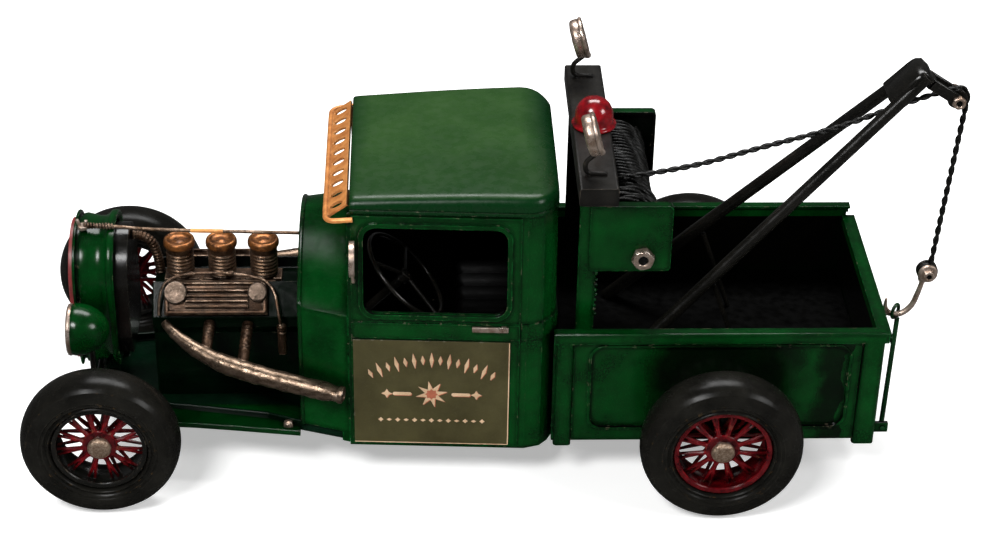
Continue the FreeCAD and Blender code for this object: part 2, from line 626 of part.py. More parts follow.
def doors():
    """Pressed door skins with a bead round the window, door signs, handles and the mirror."""
    run = number("corner_start") - number("cab_front")
    lean = math.degrees(math.atan2(number("cab_rear_half") - number("cab_front_half"), run))
    signs, handles = [], []
    for side, name in ((-1, "door_left"), (1, "door_right")):
        turn = Rotation(Vector(0, 0, 1), side * lean)
        skin = Part.makeBox(number("door_rear") - 88.2, 0.7, number("cab_top") - 0.4 - number("door_low"),
                            Vector(1.2, 0.02, 0))
        height = number("lintel") - number("sill")
        window = Part.makeBox(number("window_rear") - number("window_front"), 6, height, Vector(5.5, -2, 0))
        window.translate(Vector(0, 0, number("sill") - number("door_low")))
        window = window.makeFillet(4.5, [edge for edge in window.Edges if along("y")(edge)])
        bead = Part.makeBox(52.8, 1.5, height + 3.2, Vector(3.9, 0.02, number("sill") - number("door_low") - 1.6))
        bead = bead.makeFillet(5.8, [edge for edge in bead.Edges if along("y")(edge)])
        belt = Part.makeBox(number("door_rear") - 88.2, 1.3, number("belt_high") - number("belt_low"),
                            Vector(1.2, 0.02, number("belt_low") - number("door_low")))
        door = lean_above(skin.fuse(bead).cut(window), number("belt_high") - number("door_low"), lean).fuse(belt)
        sign = Part.makeBox(54.8, 0.35, 44.2, Vector(1.7, 0.74, 1.0))
        handle = Part.makeBox(12.6, 0.9, 1.9, Vector(43.2, 2.2, 50.6))
        stub = Part.makeBox(1.8, 1.4, 1.5, Vector(53.2, 1.33, 50.8))
        for shape, shelf in ((door, None), (sign, signs), (handle.fuse(stub), handles)):
            if side < 0:
                shape = shape.mirror(Vector(), Vector(0, 1, 0))
            shape.rotate(Vector(), Vector(0, 0, 1), side * lean)
            shape.translate(at("cab_front", f"{side} * cab_front_half", "door_low"))
            if shelf is None:
                node(name, solid(shape))
            else:
                shelf.append(solid(shape))
    node("door_signs", group(*signs))
    node("door_handles", group(*handles))
    stem = pipe([("89.4", "-42.4", "86.2"), ("89.2", "-45.0", "86.8"), ("88.8", "-46.4", "92.2")], "0.6")[0]
    glass = Part.makeCylinder(6.2, 1.8, at("88.0", "-47.1", "97.7"), Vector(1, 0, 0))
    node("wing_mirror", solid(stem.fuse(glass)))


def cabin():
    """Bench seat, steering column and the steering wheel that turns on it."""
    seat = fuse(box(("126", "150"), ("-36", "36"), ("pan_bottom + 4.25", "46")),
                box(("147", "156"), ("-36", "36"), ("46", "74")))
    node("seat", seat)
    tilt = math.radians(number("steer_tilt"))
    axis = Vector(math.sin(tilt), 0, math.cos(tilt))
    hub = at("steer_x", "-steer_y", "steer_z")
    reach = 46.0
    column = Part.makeCylinder(1.5, reach - 2.4, hub - axis * reach, axis)
    pin = Part.makeCylinder(0.8, 3.4, hub - axis * 2.4, axis)
    wall = Part.makeBox(60, 60, 60, at(number("firewall") + 1.22 - 60, -50, 10))
    node("steering_column", solid(column.fuse(pin).cut(wall)))
    ring_shape = Part.makeTorus(number("steer_radius"), 0.8)
    boss = Part.makeCylinder(2.4, 3, Vector(0, 0, -2.1), Vector(0, 0, 1))
    pieces = [boss]
    for index in range(3):
        angle = math.radians(90 + 120 * index)
        outward = Vector(math.cos(angle), math.sin(angle), 0)
        pieces.append(Part.makeCylinder(0.7, number("steer_radius"), Vector(), outward))
    bore = Part.makeCylinder(0.85, 3.5, Vector(0, 0, -2.4), Vector(0, 0, 1))
    steer = ring_shape.multiFuse(pieces).cut(bore)
    steer.rotate(Vector(), Vector(0, 1, 0), number("steer_tilt"))
    steer.translate(hub)
    node("steering_wheel", solid(steer))


# ---------------------------------------------------------------- bed

def bed():
    """Floor with its front panel, two pressed sides with rolled rails and stakes, and the tailgate."""
    floor = box(("bed_front + 1.7", "273.7"), ("-bed_wall + 0.02", "bed_wall - 0.02"),
                ("bed_floor - 1.4", "bed_floor"))
    front = box(("bed_front + 1.7", "bed_front + 2.9"), ("-bed_wall + 0.02", "bed_wall - 0.02"),
                ("bed_bottom", "bed_top - 1"))
    node("bed_floor", fuse(floor, front))
    length = ("bed_front", "bed_rear - 1.2")
    wall = box(length, ("bed_wall", "bed_wall + 1"), ("bed_bottom", "bed_top - 0.8"))
    frame = cut(box(length, ("bed_wall + 1", "bed_wall + 1.8"), ("bed_bottom", "rail_lip")),
                opening(("172.3", "263.5"), ("bed_wall + 0.9", "bed_wall + 2"), ("24.2", "58.8"), "5"))
    bead = cut(opening(("171.4", "264.4"), ("bed_wall + 1.7", "bed_wall + 2.3"), ("23.3", "59.7"), "5.8"),
               opening(("172.3", "263.5"), ("bed_wall + 1.6", "bed_wall + 2.6"), ("24.2", "58.8"), "5"))
    stakes = [rounded(box(x, ("bed_wall + 1", "bed_half"), ("17", "rail_lip + 0.1")),
                      "1.3", outer_upright)
              for x in (("bed_front + 0.7", "166"), ("267.6", "bed_rear - 1.2"))]
    rail = rounded(cut(box(("bed_front", "bed_rear"), ("bed_wall - 0.6", "bed_half"), ("rail_lip", "bed_top")),
                       box(("bed_front - 1", "bed_rear + 1"), ("bed_wall - 1", "bed_half - 0.9"),
                           ("rail_lip - 1", "bed_top - 1"))), "0.6", rail_corner)
    axle_hole = disc("y", "wheelbase", "bed_wall - 2", "rear_radius", "axle_radius", "8")
    right = cut(fuse(wall, frame, bead, *stakes, rail), axle_hole)
    node("bed_side_right", right)
    node("bed_side_left", mirrored(right))
    plate = box(("273.8", "275.2"), ("-bed_wall + 0.05", "bed_wall - 0.05"), ("18", "tailgate_top"))
    rim = cut(box(("273.8", "278.7"), ("-bed_wall + 0.05", "bed_wall - 0.05"),
                  ("tailgate_top - 3", "tailgate_top")),
              box(("275", "277.9"), ("-60", "60"), ("tailgate_top - 4", "tailgate_top - 0.9")))
    lugs = [box(("275.1", "281"), (low, high), ("sling_z - 2", "sling_z + 2"))
            for low, high in (("40.2", "41.6"), ("-41.6", "-40.2"))]
    pin_hole = disc("y", "sling_x", "-50", "sling_z", "0.87", "100")
    node("tailgate", cut(fuse(plate, rim, *lugs), pin_hole))


def rail_corner(edge):
    """The rail's upper outer edge."""
    corner = edge.Vertexes[0]
    return along("x")(edge) and corner.Y > number("bed_half") - 0.01 and corner.Z > number("bed_top") - 0.01


def outer_upright(edge):
    """Upright edges on the outer face of a stake."""
    return along("z")(edge) and edge.Vertexes[0].Y > number("bed_half") - 0.01


# ---------------------------------------------------------------- light bar and winch

def light_bar():
    """Two posts, the lamp bar with bent lamp wires, the beacon and two work lamps."""
    posts = [box(("post_front", "post_rear"), (low, high), ("bed_floor + 0.02", "bar_bottom"))
             for low, high in (("31.9", "post_half"), ("-post_half", "-31.9"))]
    node("light_bar_posts", group(*posts))
    beam = rounded(box(("165.6", "179"), ("-45", "45"), ("bar_bottom + 0.02", "bar_top")), "0.8", along("y"))
    wires, lamps = [], []
    for side in (-1, 1):
        y = side * 35.6
        wires.append(solid(pipe([("175.4", y, "bar_top + 0.5"), ("168.2", y, "bar_top + 0.7"),
                                 ("167.6", y, "bar_top + 5.0"), ("172.4", y, "bar_top + 9.2")], "0.85")[0]))
        lamps.append(work_lamp(y))
    node("light_bar", cut(fuse(beam, *wires), *lamps))
    node("work_lamps", group(*lamps))
    dome = [("0", "0"), ("8.3", "0"), ("8.3", "0.9"), ("6.7", "1.1"), ("6.7", "3.8"), ("6.1", "6.6"),
            ("4.6", "8.8"), ("2.4", "10.2"), ("0", "10.6")]
    node("beacon", revolved(dome, "173.3", "0", "bar_top + 0.01", "z"))


def work_lamp(y):
    """Shallow round lamp that leans back, with a bezel on its rear face."""
    lean = math.radians(16)
    axis = Vector(math.cos(lean), 0, math.sin(lean))
    centre = at("169.6", y, "139.2")
    housing = Part.makeCylinder(7.1, 3.4, centre - axis * 2, axis)
    bezel = Part.makeCylinder(7.6, 1.1, centre + axis * 1.4, axis)
    return solid(housing.fuse(bezel))


def winch():
    """Two flanged brackets with their nuts, the drum on its stub shafts and the wound rope."""
    brackets, bolts = [], []
    for side in (-1, 1):
        outer = box(("170.5", "199"), ("32", "plate_face"), ("85", "111"))
        outer = rounded(outer, "1.6", far_corner)
        room = box(("160", "197.8"), ("31", "plate_face - sheet_metal"), ("86.2", "109.8"))
        post_room = box(("160", "post_rear + 0.05"), ("31", "post_half + 0.05"), ("80", "115"))
        boss = disc("y", "winch_x", "32.2", "winch_z", "3", "2.4")
        bore = disc("y", "winch_x", "31", "winch_z", "axle_radius + running_gap", "3.2")
        stud_hole = disc("y", "189.2", "30", "90.8", "2", "8")
        plate = cut(fuse(cut(outer, room, post_room), boss), bore, stud_hole)
        bolt = fuse(disc("y", "189.2", "32.6", "90.8", "2", "plate_face - 32.6 + 3.4"),
                    hexagon("189.2", "plate_face", "90.8", "3.5", "2.9"),
                    hexagon("189.2", "32.2", "90.8", "3.2", "1.9"))
        brackets.append(plate if side > 0 else mirrored(plate))
        bolts.append(bolt if side > 0 else mirrored(bolt))
    node("winch_brackets", group(*brackets))
    node("winch_bolts", group(*bolts))
    drum = [("0", "-34.1"), ("axle_radius", "-34.1"), ("axle_radius", "-drum_half"),
            ("drum_radius", "-drum_half"), ("drum_radius", "drum_half"), ("axle_radius", "drum_half"),
            ("axle_radius", "34.1"), ("0", "34.1")]
    node("winch_drum", revolved(drum, "winch_x", "0", "winch_z", "y"))
    wound = [("drum_radius", "-drum_half"), ("second_radius", "-drum_half"), ("second_radius", "-16"),
             ("winding_radius", "-14.6"), ("winding_radius", "29"), ("winding_radius - 2.2", "drum_half"),
             ("drum_radius", "drum_half")]
    node("rope_winding", revolved(wound, "winch_x", "0", "winch_z", "y"))


def far_corner(edge):
    """Rear edges of a bracket plate that run along Y."""
    return along("y")(edge) and edge.Vertexes[0].X > at("198", 0, 0).x


# ---------------------------------------------------------------- boom, rope and sling

def boom():
    """A-frame of two tubes with a folded head and fork, its stays, and the tip sheave."""
    tubes = [rod(("leg_foot_x", f"{side} * leg_foot_y", "bed_floor"),
                 ("leg_head_x", f"{side} * leg_head_y", "leg_head_z"), "leg_radius") for side in (-1, 1)]
    below = box(("170", "200"), ("-35", "35"), ("bed_floor - 10", "bed_floor + 0.02"))
    legs = node("boom_legs", cut(group(*tubes), below))
    rise = math.atan2(number("leg_head_z - bed_floor"), number("leg_head_x - leg_foot_x"))
    slope = Rotation(Vector(0, 1, 0), -math.degrees(rise))
    run, lift = slope.multVec(Vector(1, 0, 0)), slope.multVec(Vector(0, 0, 1))
    back = lift * 2.36 - run * 15
    over = -lift * 2.6 + run * 0.02
    top = turned_box(("16.4", "14.4", "1.4"),
                     f"leg_head_x + {back.x}", "-7.2", f"leg_head_z + {back.z}", slope)
    end = turned_box(("1.4", "14.4", "6.35"),
                     f"leg_head_x + {over.x}", "-7.2", f"leg_head_z + {over.z}", slope)
    drop = Rotation(Vector(0, 1, 0), 33.1)
    arms = [turned_box(("14", "1.4", "4.2"), "288.4", low, "139.9", drop) for low in ("2.5", "-3.9")]
    fork_ends = [disc("y", "tip_x", low, "tip_z", "2.1", "1.4") for low in ("2.5", "-3.9")]
    bridge = turned_box(("1.6", "7.8", "4.2"), "288.4", "-3.9", "139.9", drop)
    pin = disc("y", "tip_x", "-6.2", "tip_z", "0.76", "12.4")
    nuts = [hexagon("tip_x", low, "tip_z", "2.3", "1.8") for low in ("3.9", "-5.7")]
    node("boom_head", cut(fuse(top, end, bridge, *arms, *fork_ends, pin, *nuts), legs))
    stays = [rod(("228.5", f"{side} * 17", "bed_floor + 0.35"), ("217.4", f"{side} * 17.2", "67.9"), "0.9")
             for side in (-1, 1)]
    node("boom_stays", group(*stays))
    sheave = [("0.82", "-1.9"), ("sheave_radius", "-1.9"), ("sheave_radius", "-1.5"),
              ("groove_radius", "-0.8"), ("groove_radius", "0.8"),
              ("sheave_radius", "1.5"), ("sheave_radius", "1.9"), ("0.82", "1.9")]
    node("tip_sheave", revolved(sheave, "tip_x", "0", "tip_z", "y"))


def rope():
    """The rope from the drum over the sheave, its hanging part, the end block and the hook."""
    on_drum = "winch_z + second_radius + rope_radius + 0.15"
    wrap = "(groove_radius + rope_radius + 0.2)"
    corner = f"{wrap} / cos(27.75)"
    run = [("winch_x - 1", "-18.2", on_drum), ("204", "-14.9", "113.9"), ("232", "-10.4", "120.4"),
           ("258", "-6.2", "125.3"), ("281", "-2", "132.65"),
           (f"tip_x + {corner} * cos(79.25)", "0", f"tip_z + {corner} * sin(79.25)"),
           (f"tip_x + {corner} * cos(23.75)", "0", f"tip_z + {corner} * sin(23.75)"),
           (f"tip_x + {wrap} * cos(4) - 0.13", "0", f"tip_z - {wrap} * sin(4) - 1.9")]
    run_tube, radii, run_length = pipe(run, "rope_radius")
    node("rope_run", solid(run_tube))
    print("rope run radii", [round(radius, 1) for radius in radii], "length", round(run_length, 1))
    drop = [(f"tip_x + {wrap} * cos(4) - 0.134", "0", f"tip_z - {wrap} * sin(4) - 1.96"),
            ("block_x + 1.0", "0", "block_z + block_radius + 0.1")]
    drop_tube, drop_radii, drop_length = pipe(drop, "rope_radius")
    node("rope_drop", solid(drop_tube))
    print("rope drop radii", drop_radii, "length", round(drop_length, 1))
    block = fuse(disc("y", "block_x", "-1.3", "block_z", "block_radius", "3.2"),
                 disc("y", "block_x", "-2.6", "block_z", "3.5", "1.3"),
                 hexagon("block_x", "-4.6", "block_z", "2", "2"),
                 disc("y", "block_x", "1.9", "block_z", "1.8", "1"))
    node("hook_block", block)
    hook_route = [("297.2", "0", "block_z - block_radius + 0.05"), ("296.4", "0", "53.6"),
                  ("293.6", "0", "45.2"), ("287.0", "0", "43.2"), ("284.8", "0", "49.6")]
    node("tow_hook", solid(pipe(hook_route, "0.8")[0]))


def sling():
    """V-shaped tow sling: an eye, two rods and the pins that hinge in the tailgate lugs."""
    eye_turn = Rotation(Vector(0, 0, 1), -38).multiply(Rotation(Vector(0, 1, 0), 90))
    eye = ring("eye_x", "0", "eye_z", "2.6", "0.65", eye_turn)
    rods, pins = [], []
    for side in (-1, 1):
        rods.append(rod(("eye_x + 0.8", f"{side} * 1.0", "eye_z - 2.4"),
                        ("sling_x", f"{side} * sling_y", "sling_z"), "0.92"))
        start = "sling_y - 0.5" if side > 0 else "-(sling_y + 2.9)"
        pins.append(disc("y", "sling_x", start, "sling_z", "0.8", "3.4"))
    node("tow_sling", fuse(eye, *rods, *pins))


# ---------------------------------------------------------------- build and write

def check():
    """Stop if any object failed or any sub-part is empty or not valid."""
    doc.recompute()
    failed = [item.Name for item in doc.Objects if "Invalid" in item.State or "Error" in item.State]
    if failed:
        raise RuntimeError("failed objects: " + ", ".join(failed))
    for item in nodes:
        if item.Shape.isNull() or not item.Shape.isValid() or item.Shape.Volume <= 0:
            raise RuntimeError("bad shape: " + item.Label)


def write():
    """Write each sub-part to its own STEP file."""
    os.makedirs("parts", exist_ok=True)
    for item in nodes:
        item.Shape.exportStep(f"parts/{item.Label}.step")
    print(len(nodes), "sub-parts")


for make in (chassis_pan, axles, wheels, nose, headlights, engine, exhausts, cowl, cab, roof, sun_visor, doors,
             cabin, bed, light_bar, winch, boom, rope, sling):
    make()
check()
write()
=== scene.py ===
"""Looks of the toy tow truck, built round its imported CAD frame.

Stations run along the truck from the front axle, positive to the rear. Lengths in the tables below
are in millimetres, and spot() turns them into the frame's metres.
"""
from math import atan2, cos, degrees, hypot, pi, radians, sin, tau

import bmesh
import bpy
from mathutils import Matrix, Vector, noise


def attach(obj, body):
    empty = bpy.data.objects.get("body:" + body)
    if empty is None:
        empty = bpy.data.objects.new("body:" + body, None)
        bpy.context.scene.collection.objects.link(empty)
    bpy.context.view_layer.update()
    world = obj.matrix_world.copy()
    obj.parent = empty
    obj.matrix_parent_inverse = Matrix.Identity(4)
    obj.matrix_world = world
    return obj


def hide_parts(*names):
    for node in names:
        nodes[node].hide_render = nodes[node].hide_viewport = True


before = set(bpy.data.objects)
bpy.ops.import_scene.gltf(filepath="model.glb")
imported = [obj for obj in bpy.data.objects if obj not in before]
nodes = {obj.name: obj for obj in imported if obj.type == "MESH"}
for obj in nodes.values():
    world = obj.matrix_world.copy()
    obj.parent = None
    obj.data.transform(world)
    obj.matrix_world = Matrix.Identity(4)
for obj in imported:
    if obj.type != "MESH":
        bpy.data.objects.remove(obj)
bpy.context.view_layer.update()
noise.seed_set(1)  # noise_vector() would otherwise start from the clock, and differ from run to run

ORIGIN_STATION = 138.0
MM = 0.001
REARWARD, ACROSS, UPRIGHT = Vector((1, 0, 0)), Vector((0, 1, 0)), Vector((0, 0, 1))


def spot(x, y, z):
    """A point of the frame in metres, from a station, an offset and a height in millimetres."""
    return Vector((x - ORIGIN_STATION, y, z)) * MM


def facing(*directions):
    """The turn that takes the three axes to three directions."""
    return Matrix(directions).transposed().to_4x4()


def workspace(centre, turn):
    """A space of millimetres, turned and with its origin at a point."""
    return Matrix.Translation(centre) @ turn @ Matrix.Scale(MM, 4)


# ---------------------------------------------------------------- camera, light and floor

LENS = 83.09
CAMERA_PLACE = (-0.028106, -0.702540, 0.511432)
CAMERA_YAW, CAMERA_PITCH, CAMERA_ROLL = -0.0421671, 0.5667376, 0.0191432
FLOOR_REACH = 6.0
FLOOR_GLOW = 0.45


def camera():
    """The photograph's view: where the camera stands, its yaw, pitch and roll, and its lens."""
    right = Vector((cos(CAMERA_YAW), sin(CAMERA_YAW), 0))
    ahead = Vector((-sin(CAMERA_YAW), cos(CAMERA_YAW), 0))
    forward = ahead * cos(CAMERA_PITCH) - Vector((0, 0, sin(CAMERA_PITCH)))
    up = ahead * sin(CAMERA_PITCH) + Vector((0, 0, cos(CAMERA_PITCH)))
    side = right * cos(CAMERA_ROLL) + up * sin(CAMERA_ROLL)
    upright = up * cos(CAMERA_ROLL) - right * sin(CAMERA_ROLL)
    data = bpy.data.cameras.new("camera")
    data.sensor_width = 36
    data.lens = LENS
    data.clip_start, data.clip_end = 0.01, 20
    eye = bpy.data.objects.new("camera", data)
    eye.matrix_world = Matrix.Translation(CAMERA_PLACE) @ facing(side, upright, -forward)
    bpy.context.scene.collection.objects.link(eye)
    bpy.context.scene.camera = eye


def softbox(name, place, target, size, power):
    """A rectangular area light that faces a point."""
    data = bpy.data.lights.new(name, "AREA")
    data.shape = "RECTANGLE"
    data.size, data.size_y = size
    data.energy = power
    lamp = bpy.data.objects.new(name, data)
    lamp.location = place
    lamp.rotation_euler = (Vector(target) - Vector(place)).to_track_quat("-Z", "Y").to_euler()
    bpy.context.scene.collection.objects.link(lamp)


def studio():
    """Soft boxes above, behind and to both sides, a dim surround and a pale floor."""
    world = bpy.data.worlds.new("surround")
    world.use_nodes = True
    backdrop = world.node_tree.nodes["Background"]
    backdrop.inputs["Color"].default_value = (0.95, 0.97, 1.0, 1)
    backdrop.inputs["Strength"].default_value = 0.09
    scene = bpy.context.scene
    scene.world = world
    scene.view_settings.view_transform = "Standard"
    softbox("key", (-0.5, -0.8, 1.1), (0, 0, 0.04), (0.45, 0.35), 15)
    softbox("fill", (0.9, -0.5, 0.7), (0.02, 0, 0.05), (0.35, 0.35), 5)
    softbox("top", (0.05, 0.58, 1.25), (0, 0, 0.05), (1.0, 0.45), 18)
    mesh = bpy.data.meshes.new("floor")
    corners = [(x * FLOOR_REACH, y * FLOOR_REACH, 0) for x, y in ((-1, -1), (1, -1), (1, 1), (-1, 1))]
    mesh.from_pydata(corners, [], [(0, 1, 2, 3)])
    floor = bpy.data.objects.new("floor", mesh)
    scene.collection.objects.link(floor)
    mesh.materials.append(floor_material())


# ---------------------------------------------------------------- materials

class Graph:
    """A material's node tree, with short calls to add and join nodes."""

    def __init__(self, name):
        self.material = bpy.data.materials.new(name)
        self.material.use_nodes = True
        self.tree = self.material.node_tree
        self.coords = self.add("TexCoord").outputs["Object"]

    def feed(self, node, inputs):
        """Link outputs to a node's inputs, or set plain values on them."""
        for name, value in inputs.items():
            if isinstance(value, bpy.types.NodeSocket):
                self.tree.links.new(value, node.inputs[name])
            else:
                node.inputs[name].default_value = value

    def add(self, kind, inputs=None, **settings):
        node = self.tree.nodes.new("ShaderNode" + kind)
        for name, value in settings.items():
            setattr(node, name, value)
        self.feed(node, inputs or {})
        return node

    def surface(self, inputs):
        """Set the shader's inputs, and return the material."""
        self.feed(self.tree.nodes["Principled BSDF"], inputs)
        return self.material

    def noise(self, scale, detail=3.0, rough=0.5, stretch=None):
        """Noise in the object's own space; scale is in cycles to the metre."""
        vector = self.coords
        if stretch:
            vector = self.add("Mapping", {"Scale": stretch, "Vector": vector}).outputs["Vector"]
        inputs = {"Vector": vector, "Scale": scale, "Detail": detail, "Roughness": rough}
        return self.add("TexNoise", inputs).outputs[0]

    def span(self, value, low, high, to_low=0.0, to_high=1.0):
        """Map a value from one range to another, and clamp it."""
        return self.add("MapRange", {"Value": value, "From Min": low, "From Max": high, "To Min": to_low,
            "To Max": to_high}).outputs[0]

    def blot(self, scale, detail, low, high, to_low=0.0, to_high=1.0):
        """Noise with its middle range stretched to the whole of another."""
        return self.span(self.noise(scale, detail), low, high, to_low, to_high)

    def chain(self, kind, value, *others):
        """Join values one after another by a kind of sum."""
        for other in others:
            value = self.add("Math", {0: value, 1: other}, operation=kind).outputs[0]
        return value

    def dot(self, first, second):
        return self.add("VectorMath", {0: first, 1: second}, operation="DOT_PRODUCT").outputs["Value"]

    def mix(self, share, first, second):
        """Blend two colours."""
        first, second = (colour if isinstance(colour, bpy.types.NodeSocket) else (*colour, 1)
            for colour in (first, second))
        return self.add("Mix", {0: share, 6: first, 7: second}, data_type="RGBA").outputs[2]

    def edges(self, reach):
        """One near outer and inner edges and nought on flat faces; also the normal, rounded there."""
        rounded = self.add("Bevel", {"Radius": reach}, samples=4).outputs[0]
        return self.span(self.dot(rounded, self.add("NewGeometry").outputs["Normal"]), 0.995, 0.93), rounded

    def creases(self, reach):
        """One deep in corners and gaps, nought in the open; it masks the painted shade."""
        return self.span(self.add("AmbientOcclusion", {"Distance": reach}, samples=4).outputs["AO"], 0.85, 0.35)

    def inside(self, centre, top=None):
        """One on faces that look towards a centre, below a height."""
        look = self.add("TexCoord").outputs["Normal"]
        away = self.add("VectorMath", {0: self.coords, 1: centre}, operation="SUBTRACT").outputs[0]
        mask = self.chain("LESS_THAN", self.dot(away, look), 0.0)
        if top is None:
            return mask
        return self.chain("MULTIPLY", mask, self.chain("LESS_THAN", self.axis("Z"), top))

    def axis(self, letter, vector=None):
        """One part of a vector, or of the place in the object's own space."""
        return self.add("SeparateXYZ", {0: self.coords if vector is None else vector}).outputs[letter]

    def facing_up(self):
        """How level a face lies, from 1 for flat on top down to -1."""
        return self.axis("Z", self.add("NewGeometry").outputs["Normal"])

    def relief(self, height, depth, strength=1.0, normal=None):
        """The normal after bumps of a height, for the shader."""
        bump = self.add("Bump", {"Distance": depth, "Strength": strength, "Height": height})
        if normal is not None:
            self.feed(bump, {"Normal": normal})
        return bump.outputs[0]


def floor_material():
    """Matt near-white; mirrored rays see it grey, as a dark card beside the set would make it."""
    graph = Graph("pale_floor")
    white = graph.mix(graph.blot(9, 2, 0.3, 0.7), (0.93, 0.93, 0.925), (0.95, 0.95, 0.945))
    mirrored = graph.add("LightPath").outputs["Is Glossy Ray"]
    return graph.surface({"Base Color": graph.mix(mirrored, white, (0.035, 0.035, 0.035)),
        "Emission Color": graph.mix(mirrored, white, (0, 0, 0)), "Emission Strength": FLOOR_GLOW,
        "Roughness": 0.75, "Normal": graph.relief(graph.noise(900, 2), 0.00005, 0.3)})


# Bevel reaches: the narrow one for the chips and for the lighter edges, which are partly rubbed wear and partly a
# painted highlight; the wide one for the dark wash along edges.
EDGE_WEAR_AND_SHEEN, SMOKED_EDGE = 0.0006, 0.0028


def tint(colour):
    """A colour from a table of ten-thousandths."""
    return tuple(part / 10000 for part in colour)


def finish(name, deep, main, light, wash_and_shade, chip, rough=(0.3, 0.45), metallic=0.0, broad=70.0, edge=0.6, crease=0.85,
        chips=0.3, relief=(1500, 0.00002), reach=0.006, second=None, stretch=None, specular=0.5, border=0.0):
    """Hand-finished metal: mottled colour, dark wash and painted shade in the creases, rubbed and chipped edges that
    are also lighter as a painted highlight.

    second is a colour and a function that makes its mask, for a face painted otherwise. border is how
    dark the wash stands along the outer edges. relief is the fineness and the depth of the bumps.
    """
    graph = Graph(name)
    deep, main, light, wash_and_shade, chip = map(tint, (deep, main, light, wash_and_shade, chip))
    patches = graph.span(graph.noise(broad, 4, 0.6, stretch), 0.36, 0.64)
    colour = graph.mix(patches, deep, main)
    speckle = graph.blot(2600, 3, 0.55, 0.8, 0.0, 0.35)
    colour = graph.mix(speckle, colour, light)
    near_edge, round_normal = graph.edges(EDGE_WEAR_AND_SHEEN)
    if border:
        smoke = graph.chain("MULTIPLY", graph.edges(SMOKED_EDGE)[0], graph.blot(120, 3, 0.3, 0.65, 0.45, 1.0), border)
        colour = graph.mix(smoke, colour, wash_and_shade)
    # Lighter paint along the edges: partly rubbed wear, partly a painted highlight standing in for glints.
    scuffs_and_sheen = graph.span(graph.noise(230, 4, 0.7), 0.42, 0.62)
    colour = graph.mix(graph.chain("MULTIPLY", near_edge, scuffs_and_sheen, edge), colour, light)
    if second:
        other, mask = second
        colour = graph.mix(mask(graph), colour, tint(other))
    # The wash colour where ambient occlusion finds corners and gaps: partly the toy's black wash, partly painted
    # shade.
    wash_and_crease_shade = graph.chain("MULTIPLY", graph.creases(reach), graph.blot(160, 3, 0.2, 0.6, 0.55, 1.0), crease)
    colour = graph.mix(wash_and_crease_shade, colour, wash_and_shade)
    bare = graph.chain("MULTIPLY", near_edge, chips, graph.blot(420, 2, 0.62, 0.66))
    fineness, depth = relief
    return graph.surface({"Base Color": graph.mix(bare, colour, chip),
        "Roughness": graph.blot(300, 3, 0.3, 0.7, *rough), "Metallic": metallic, "Specular IOR Level": specular,
        "Normal": graph.relief(graph.noise(fineness, 4, 0.65), depth, 1.0, round_normal)})


BLACK = (9, 9, 7)
BARE = (2800, 2200, 1600)


def green(name, **settings):
    """Deep glossy green enamel with a black wash, and painted shade in its creases."""
    return finish(name, **dict(deep=(3, 170, 22), main=(5, 360, 45), light=(30, 1300, 220), wash_and_shade=(2, 20, 6),
        chip=BARE, rough=(0.12, 0.22), border=0.95, reach=0.009, specular=0.24) | settings)


def towards(x, y, z, top=None):
    """Black on the faces that look towards a point within the truck."""
    return BLACK, lambda graph: graph.inside(spot(x, y, z), top)


def airbrushed(graph):
    """Black sprayed on the bed sides above the wheel and behind the pressed panel."""
    wander = graph.blot(60, 3, 0.3, 0.7, -0.004, 0.004)
    station = graph.chain("ADD", graph.axis("X"), wander)
    aside = graph.chain("ABSOLUTE", graph.chain("SUBTRACT", station, 0.0815), 0)
    wheel = graph.span(aside, 0.032, 0.018, 0.0, 0.9)
    margin = graph.span(station, 0.114, 0.119, 0.0, 0.8)
    margin = graph.chain("MULTIPLY", margin, graph.span(station, 0.126, 0.1255))
    low = graph.span(graph.axis("Z"), 0.0605, 0.0585)
    return graph.chain("MULTIPLY", graph.chain("MAXIMUM", wheel, margin), low)


def bed_shade(graph):
    """The black inside of the bed, and the sprayed parts of its sides."""
    return graph.chain("MAXIMUM", graph.inside(spot(217, 0, 46), 0.0603), airbrushed(graph))


def roof_painted_shade(graph):
    """Painted shade: darker green on the roof's shoulders and its near half; darker also towards its rear edge and
    its front edge.
    """
    shoulder = graph.span(graph.facing_up(), 0.985, 0.8)
    near = graph.span(graph.axis("Y"), 0.004, -0.036, 0.0, 0.55)
    rear = graph.span(graph.axis("X"), 0.010, 0.019, 0.0, 0.95)
    front = graph.span(graph.axis("X"), -0.043, -0.0495, 0.0, 0.7)
    return graph.chain("MAXIMUM", graph.chain("MAXIMUM", shoulder, near), graph.chain("MAXIMUM", rear, front))


def lens_material(name, bright, dim):
    """Moulded glossy lens with clouding under its skin."""
    graph = Graph(name)
    return graph.surface({"Base Color": graph.mix(graph.blot(240, 3, 0.35, 0.7), tint(bright), tint(dim)),
        "Coat Weight": 0.25, "Coat Roughness": 0.05, "Subsurface Weight": 0.15, "Subsurface Scale": 0.002,
        "Roughness": graph.blot(500, 2, 0.3, 0.7, 0.14, 0.26), "Normal": graph.relief(graph.noise(350, 3), 0.00006)})


